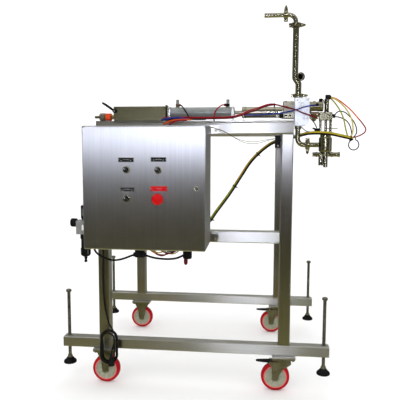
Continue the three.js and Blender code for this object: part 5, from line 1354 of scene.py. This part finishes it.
def bundle(b, spine, strands, twist=0.0, step=9.0):
    """Parallel strands round a spine: (offset right, offset up, radius, material, start, end)."""
    run = smooth_run(spine, step)
    n = len(run)
    for k, (u, v, r, mat, s0, s1) in enumerate(strands):
        pts = []
        for i, p in enumerate(run):
            s = i / (n - 1)
            if s < s0 or s > s1:
                continue
            t = (run[min(n - 1, i + 1)] - run[max(0, i - 1)]).normalized()
            side = Vector((0, -1, 0))
            side = (side - side.dot(t) * t).normalized()
            up = side.cross(t)
            a = twist * s + 0.35 * math.sin(5.1 * s + k)
            uu = u * math.cos(a) - v * math.sin(a)
            vv = u * math.sin(a) + v * math.cos(a)
            pts.append(p + side * uu + up * vv)
        if len(pts) > 2:
            b.sweep(pts, r, mat, seg=10)
    return run


def ziptie(b, p, t, r, mat="black_soft"):
    b.band(p, t, r, 4.2, 1.2, mat, 36)
    n = Vector(t).normalized()
    s = n.cross(Vector((0, 1, 0))).normalized()
    c = Vector(p) - s * (r + 1.6)
    b.box(c.x - 2.6, c.x + 2.6, c.y - 2.6, c.y + 2.6, c.z - 2.6, c.z + 2.6, mat, 0.6)
    b.sweep([c - s * 1.0, c - s * 8 + n * 2], 0.9, mat, seg=6)


# loom: from behind the enclosure up to the front post, then over to the nozzle
LOOM = [
    (-420, 30, 742), (-392, 44, 744), (-364, 60, 752), (-333, 62, 794.5), (-271, 62, 880.5), (-223, 63, 956.5), (-180, 64, 1022), (-132, 66, 1071),
    (-90, 72, 1101), (-48, 80, 1117), (4, 78, 1128), (38, 40, 1137), (62, -10, 1142), (92, -23, 1143), (128, -25, 1142), (165, -24, 1137), (192, -20, 1131), (240, -10, 1121),
]
b = B()
lo_strands = [
    (4.6, 0.5, 2.6, "yellow_green", 0.0, 0.62), (1.2, 4.4, 2.6, "yellow", 0.0, 1.0), (-3.4, 3.2, 2.2, "orange_tube", 0.25, 0.78), (4.4, 4.8, 2.0, "tan", 0.30, 0.66),
    (-0.4, -0.6, 2.6, "grey_tube", 0.0, 0.70), (3.6, -4.2, 2.6, "black_tube", 0.0, 1.0), (-4.6, -1.8, 2.6, "blue", 0.28, 0.74), (-2.0, -5.0, 2.4, "black_tube", 0.0, 1.0),
    (4.2, 1.6, 2.7, "yellow_green", 0.60, 1.0), (-4.4, 1.0, 2.5, "green_yel", 0.60, 1.0), (0.6, 1.2, 2.6, "yellow_green", 0.66, 1.0), (6.0, -1.8, 2.2, "yellow", 0.66, 1.0),
]
loom_run = bundle(b, LOOM, lo_strands, 0.5)


def near(run, x):
    i = min(range(1, len(run) - 1), key=lambda k: abs(run[k].x - x))
    return run[i], (run[i + 1] - run[i - 1]).normalized()


for xx in (-352, -250, -150, -38):
    p, t = near(loom_run, xx)
    ziptie(b, p, t, 8.6)
for xx in (20, 236):
    p, t = near(loom_run, xx)
    ziptie(b, p, t, 8.0)
# sleeve bracket behind the front post, corrugated boot by the enclosure
p, t = near(loom_run, -60)
b.box(-77, -52.5, 51.6, 66, 1080, 1134, "black", 2.0, 3)
b.hexa("y", 4, 49.9 + 1.0, 53.5, (-64, 1090), "zinc")
b.sweep([(-420, 30, 742), (-400, 41, 743.3)], 8.4, "black_soft", seg=24)

ARC_A = [(153.2, 23, 1292), (176, 24, 1282), (199, 25, 1263), (219, 25, 1241), (234, 24, 1216), (243, 20, 1190), (245, 10, 1160), (240, -2, 1138), (232, -9, 1124)]
ARC_B = [(153.0, 27, 1288), (170, 27, 1270), (187, 26, 1246), (199, 25, 1224), (208, 22, 1200), (213, 14, 1172), (217, 2, 1148), (222, -8, 1128)]
ARC_C = [(153.0, 25, 1294), (170, 25, 1289), (190, 25, 1278), (212, 25, 1261), (238, 25, 1238), (262, 24, 1211), (284, 20, 1184), (297, 14, 1162), (294, 8, 1148), (276, 0, 1135), (252, -8, 1126), (240, -10, 1123)]
strand(b, ARC_A, 2.9, "yellow_clear")
strand(b, ARC_B, 2.9, "yellow_green")
runc = smooth_run(ARC_C, 6.0)
k = int(len(runc) * 0.52)
b.sweep(runc[:k + 1], 2.7, "orange_tube", seg=12)
b.sweep(runc[k:], 2.7, "red_tube", seg=12)
CAB1 = [(170, 25, 1216), (178, 25, 1229), (192, 25, 1235), (212, 25, 1230), (234, 25, 1211), (250, 23, 1190), (259, 20, 1169), (261, 14, 1148), (253, 2, 1133), (243, -8, 1124)]
CAB2 = [(170, 25, 1212), (184, 25, 1211), (200, 25, 1206), (218, 24, 1196), (231, 22, 1180), (238, 16, 1158), (239, 4, 1138), (236, -8, 1125)]
strand(b, CAB1, 2.3, "black_tube")
strand(b, CAB2, 2.3, "black_tube")
# spare loop tied under the bundle
lp = [(246 + 20.5 * math.cos(a), -13 + 4.0 * math.sin(a * 0.5), 1094 + 21.5 * math.sin(a)) for a in [math.radians(100 + 15 * i) for i in range(23)]]
strand(b, [(238, -12, 1121)] + lp + [(252, -13, 1122)], 2.2, "black_tube", step=4)
# small loops on the actuator side
strand(b, [(111, 25, 1287), (118, 20, 1284), (126, 14, 1268), (132, 4, 1240), (140, 2, 1232)], 2.0, "black_tube")
strand(b, [(66, 8, 1206), (74, 6, 1198), (80, 10, 1192), (90, 14, 1178), (96, 14, 1164)], 2.2, "black_tube")
strand(b, [(28, -8, 1170), (40, -12, 1158), (52, -14, 1150), (70, -16, 1146)], 2.2, "grey_tube")
b.make("hose_bundle", "machine", ("hose_loom",))

# tubes over the front of the head
b = B()
BASE = [(-560, -7, 1202.6), (-505, -8, 1203.6), (-472, -9, 1205), (-426, -12, 1203.6), (-373, -13, 1203.4), (-312, -12, 1204), (-262, -10, 1207), (-215, -9, 1219)]
MAROON = BASE + [(-186, -8, 1231), (-156, -8, 1241), (-133, -8, 1250), (-114, -7, 1256), (-92, -7.5, 1260), (-72, -9, 1260), (-57, -11, 1256), (-43, -13, 1252), (-20, -15, 1246), (0, -15, 1241), (30, -15, 1228), (64.5, -13, 1216), (84, -7, 1209), (98, 4, 1204)]
strand(b, MAROON, 3.0, "maroon")
RED2 = [(x, y - 3.5, z + 5.4) for x, y, z in BASE] + [(-188, -12, 1237), (-160, -12, 1246), (-136, -12, 1254), (-114, -11, 1261.5), (-96, -11, 1264), (-80, -10, 1262.5), (-66, -9, 1258), (-50, -10, 1255), (-26, -14, 1250)]
strand(b, RED2, 2.6, "red_tube")
BLUE = [(-548, -13, 1206), (-520, -14, 1207.6), (-490, -13, 1210), (-462, -11, 1207), (-426, -8, 1205), (-373, -7, 1204), (-312, -6, 1205), (-268, -6, 1212), (-215, -6, 1219), (-194, -6, 1219.6), (-150, -7, 1219), (-104, -9, 1221), (-55, -10, 1226), (5, -14, 1239), (45, -11, 1252), (77, -3, 1258), (98, -2, 1262)]
strand(b, BLUE, 2.7, "blue")
# drops from the flow controls
strand(b, [tuple(fc1), (-482, 8, 1262), (-474, 2, 1254), (-462, -4, 1238), (-452, -8, 1222), (-446, -10, 1210)], 2.8, "black_tube")
strand(b, [tuple(fc2), (-302, 6, 1263), (-314, -2, 1256), (-327, -6, 1243), (-335, -8, 1228), (-338, -10, 1214), (-340, -11, 1207)], 2.7, "red_tube")
# crossing ends lying on the enclosure's back edge
strand(b, [(-566, -10, 1199.8), (-540, -14, 1202.5), (-514, -16, 1206), (-486, -15, 1206.5), (-452, -14, 1203)], 3.4, "blue")
strand(b, [(-556, -18, 1180), (-532, -20, 1191), (-505, -20, 1197.8), (-470, -19, 1199.6), (-436, -16, 1200)], 3.6, "orange_tube")
strand(b, [(-530, -24, 1178), (-510, -25, 1190), (-486, -24, 1196.5), (-452, -21, 1197)], 3.4, "red_tube")
strand(b, [(-540, -15, 1196), (-500, -16, 1200.8), (-456, -16, 1201), (-400, -15, 1199.8), (-372, -14, 1200.6)], 2.6, "black_tube")
for p_ in ((-84, -9, 1259.5), (-338, -11.5, 1205)):
    ziptie(b, p_, (1, 0, 0.1), 6.4)
# thin sensor wires that sag below the front beam
strand(b, [(-364, -8, 1171), (-340, -9, 1166), (-318, -9, 1158), (-291, -8, 1149.5), (-248, -4.6, 1122), (-222, -4.6, 1108), (-197, -4.6, 1100), (-172, -4, 1098), (-150, 6, 1100), (-124, 24, 1107), (-99, 42, 1114), (-80, 55, 1118)], 1.0, "thin_wire", seg=8)
strand(b, [(-366, -8, 1173), (-336, -9, 1164), (-300, -8, 1151), (-262, -4.8, 1130), (-232, -4.6, 1117), (-204, -4.6, 1109), (-176, -2, 1106), (-150, 8, 1108), (-120, 28, 1114), (-92, 48, 1119), (-78, 56, 1121)], 1.0, "thin_wire", seg=8)
# two flat clips hold the wires to the beam
for x_ in (-352, -318):
    b.box(x_ - 9, x_ + 9, -3.4, -0.2, 1156 if x_ == -318 else 1164, 1162 if x_ == -318 else 1170, "zinc", 0.6)
b.make("head_tubes", "machine", ("hose_top",))

# mounting straps between enclosure and frame
b = B()
for z_ in (1158, 690):
    b.box(-358, -318, -3.0, -0.25, z_ - 18, z_ + 18, "steel_z", 0.5)
    b.hexa("y", 6.4, -8.4, -3.0, (-330, z_ - 4), "zinc")
b.make("enclosure_straps", "machine")


# ---------------------------------------------------------------- floor, backdrop and light
def stage_material(name, build):
    m = bpy.data.materials.new(name)
    m.use_nodes = True
    build(m.node_tree)
    return m


def floor():
    me = bpy.data.meshes.new("floor")
    s = 14.0
    me.from_pydata([(-s, -s, 0), (s, -s, 0), (s, s, 0), (-s, s, 0)], [], [(0, 1, 2, 3)])
    k = Mat("floor_paper")
    cl = k.noise(k.coords((1.5, 1.5, 1.5)), 1.0, 2.0, 0.5)
    col = k.ramp(cl, [(0.3, (0.955, 0.955, 0.955, 1)), (0.7, (0.97, 0.97, 0.97, 1))])
    k.put(col, 0.0, 0.9, spec=0.1)
    me.materials.append(k.m)
    ob = bpy.data.objects.new("floor", me)
    ob.location.z = -0.0015
    bpy.context.scene.collection.objects.link(ob)
    ob.visible_glossy = False


floor()


def glow_dome():
    """A surround that only polished surfaces see: bright above eye level, dark olive below."""
    bm = bmesh.new()
    bmesh.ops.create_uvsphere(bm, u_segments=96, v_segments=64, radius=9.0)
    me = bpy.data.meshes.new("surround")
    bm.to_mesh(me)
    bm.free()
    m = bpy.data.materials.new("surround_glow")
    m.use_nodes = True
    t = m.node_tree
    t.nodes.clear()
    co = t.nodes.new("ShaderNodeTexCoord")
    sep = t.nodes.new("ShaderNodeSeparateXYZ")
    t.links.new(co.outputs["Object"], sep.inputs["Vector"])
    mr = t.nodes.new("ShaderNodeMapRange")
    mr.inputs["From Min"].default_value = -9.0
    mr.inputs["From Max"].default_value = 9.0
    t.links.new(sep.outputs["Z"], mr.inputs["Value"])
    ramp = t.nodes.new("ShaderNodeValToRGB")
    e = ramp.color_ramp.elements
    stops = DOME_STOPS
    e[0].position, e[0].color = stops[0]
    e[1].position, e[1].color = stops[-1]
    for p, c in stops[1:-1]:
        x = e.new(p)
        x.color = c
    t.links.new(mr.outputs["Result"], ramp.inputs["Fac"])
    def patch(center, sx, sz, gain, color, sy=4.0):
        """A soft bright panel seen in the direction of center."""
        d = t.nodes.new("ShaderNodeVectorMath")
        d.operation = "SUBTRACT"
        d.inputs[1].default_value = center
        t.links.new(co.outputs["Object"], d.inputs[0])
        sc_ = t.nodes.new("ShaderNodeVectorMath")
        sc_.operation = "MULTIPLY"
        sc_.inputs[1].default_value = (1.0 / sx, 1.0 / sy, 1.0 / sz)
        t.links.new(d.outputs["Vector"], sc_.inputs[0])
        ln = t.nodes.new("ShaderNodeVectorMath")
        ln.operation = "LENGTH"
        t.links.new(sc_.outputs["Vector"], ln.inputs[0])
        f = t.nodes.new("ShaderNodeMapRange")
        f.interpolation_type = "SMOOTHSTEP"
        f.inputs["From Min"].default_value = 1.0
        f.inputs["From Max"].default_value = 0.0
        f.inputs["To Min"].default_value = 0.0
        f.inputs["To Max"].default_value = gain
        t.links.new(ln.outputs["Value"], f.inputs["Value"])
        e_ = t.nodes.new("ShaderNodeEmission")
        e_.inputs["Color"].default_value = color
        t.links.new(f.outputs["Result"], e_.inputs["Strength"])
        return e_

    em = t.nodes.new("ShaderNodeEmission")
    em.inputs["Strength"].default_value = 1.0
    t.links.new(ramp.outputs["Color"], em.inputs["Color"])
    total = em
    for q in DOME_PATCHES:
        one = patch(*q)
        plus = t.nodes.new("ShaderNodeAddShader")
        t.links.new(total.outputs[0], plus.inputs[0])
        t.links.new(one.outputs[0], plus.inputs[1])
        total = plus
    out = t.nodes.new("ShaderNodeOutputMaterial")
    t.links.new(total.outputs[0], out.inputs["Surface"])
    me.materials.append(m)
    ob = bpy.data.objects.new("surround", me)
    ob.location = (0, 0, 1.05)
    bpy.context.scene.collection.objects.link(ob)
    ob.visible_camera = False
    ob.visible_diffuse = False
    ob.visible_shadow = False
    ob.visible_transmission = False
    ob.visible_volume_scatter = False


OLIVE = (0.030, 0.026, 0.009, 1)
DOME_STOPS = [
    (0.00, (0.46, 0.44, 0.22, 1)),
    (0.20, (0.30, 0.28, 0.115, 1)),
    (0.34, (0.085, 0.078, 0.026, 1)),
    (0.42, OLIVE),
    (0.485, OLIVE),
    (0.505, (0.055, 0.054, 0.050, 1)),
    (0.56, (0.060, 0.057, 0.045, 1)),
    (0.72, (0.12, 0.115, 0.075, 1)),
    (0.86, (0.50, 0.50, 0.46, 1)),
    (1.00, (0.95, 0.95, 0.95, 1)),
]
# centre (relative to the middle of the surround), half width, half height, strength, colour
DOME_PATCHES = [
    ((0.04, -9.0, 0.42), 0.80, 0.66, 60.0, (0.80, 0.83, 1.0, 1)),
    ((-0.6, -9.0, 1.4), 3.4, 1.3, 0.5, (0.80, 0.84, 1.0, 1)),
    ((8.6, -1.0, -0.6), 3.4, 5.2, 0.70, (0.93, 0.95, 1.0, 1), 4.2),
    ((-8.6, 0.8, -0.6), 3.4, 5.2, 0.60, (0.93, 0.95, 1.0, 1), 4.2),
    ((0.0, 8.8, -2.2), 6.0, 4.4, 0.60, (0.93, 0.95, 1.0, 1), 3.6),
    ((-6.9, -5.2, -2.6), 2.2, 2.8, 0.16, (0.93, 0.95, 1.0, 1), 2.4),
    ((6.6, -5.6, -2.6), 2.4, 2.8, 0.15, (0.93, 0.95, 1.0, 1), 2.6),
    ((-5.2, -6.6, 4.2), 2.4, 2.2, 0.60, (0.93, 0.95, 1.0, 1), 2.4),
    ((5.6, -6.0, 4.2), 2.4, 2.2, 0.60, (0.93, 0.95, 1.0, 1), 2.4),
]
glow_dome()

world = bpy.data.worlds.new("world")
bpy.context.scene.world = world
world.use_nodes = True
bg = world.node_tree.nodes["Background"]
bg.inputs["Color"].default_value = (1.0, 1.0, 1.0, 1)
bg.inputs["Strength"].default_value = 1.16


def area(name, loc, target, size, power, color=(1, 1, 1)):
    li = bpy.data.lights.new(name, "AREA")
    li.shape = "RECTANGLE"
    li.size, li.size_y = size
    li.energy = power
    li.color = color
    ob = bpy.data.objects.new(name, li)
    ob.location = loc
    d = Vector(target) - Vector(loc)
    ob.rotation_euler = d.to_track_quat("-Z", "Y").to_euler()
    bpy.context.scene.collection.objects.link(ob)
    ob.visible_glossy = False
    return ob


area("key_light", (-1.2, -3.6, 3.2), (0, 0, 0.9), (2.2, 1.6), 24, (1.0, 0.99, 0.97))
area("fill_light", (3.4, -2.0, 2.4), (0, 0, 0.9), (1.6, 1.6), 8, (0.97, 0.98, 1.0))
sc = bpy.context.scene
sc.view_settings.view_transform = "Standard"
sc.view_settings.look = "None"
sc.view_settings.exposure = 0.0
sc.view_settings.gamma = 1.0
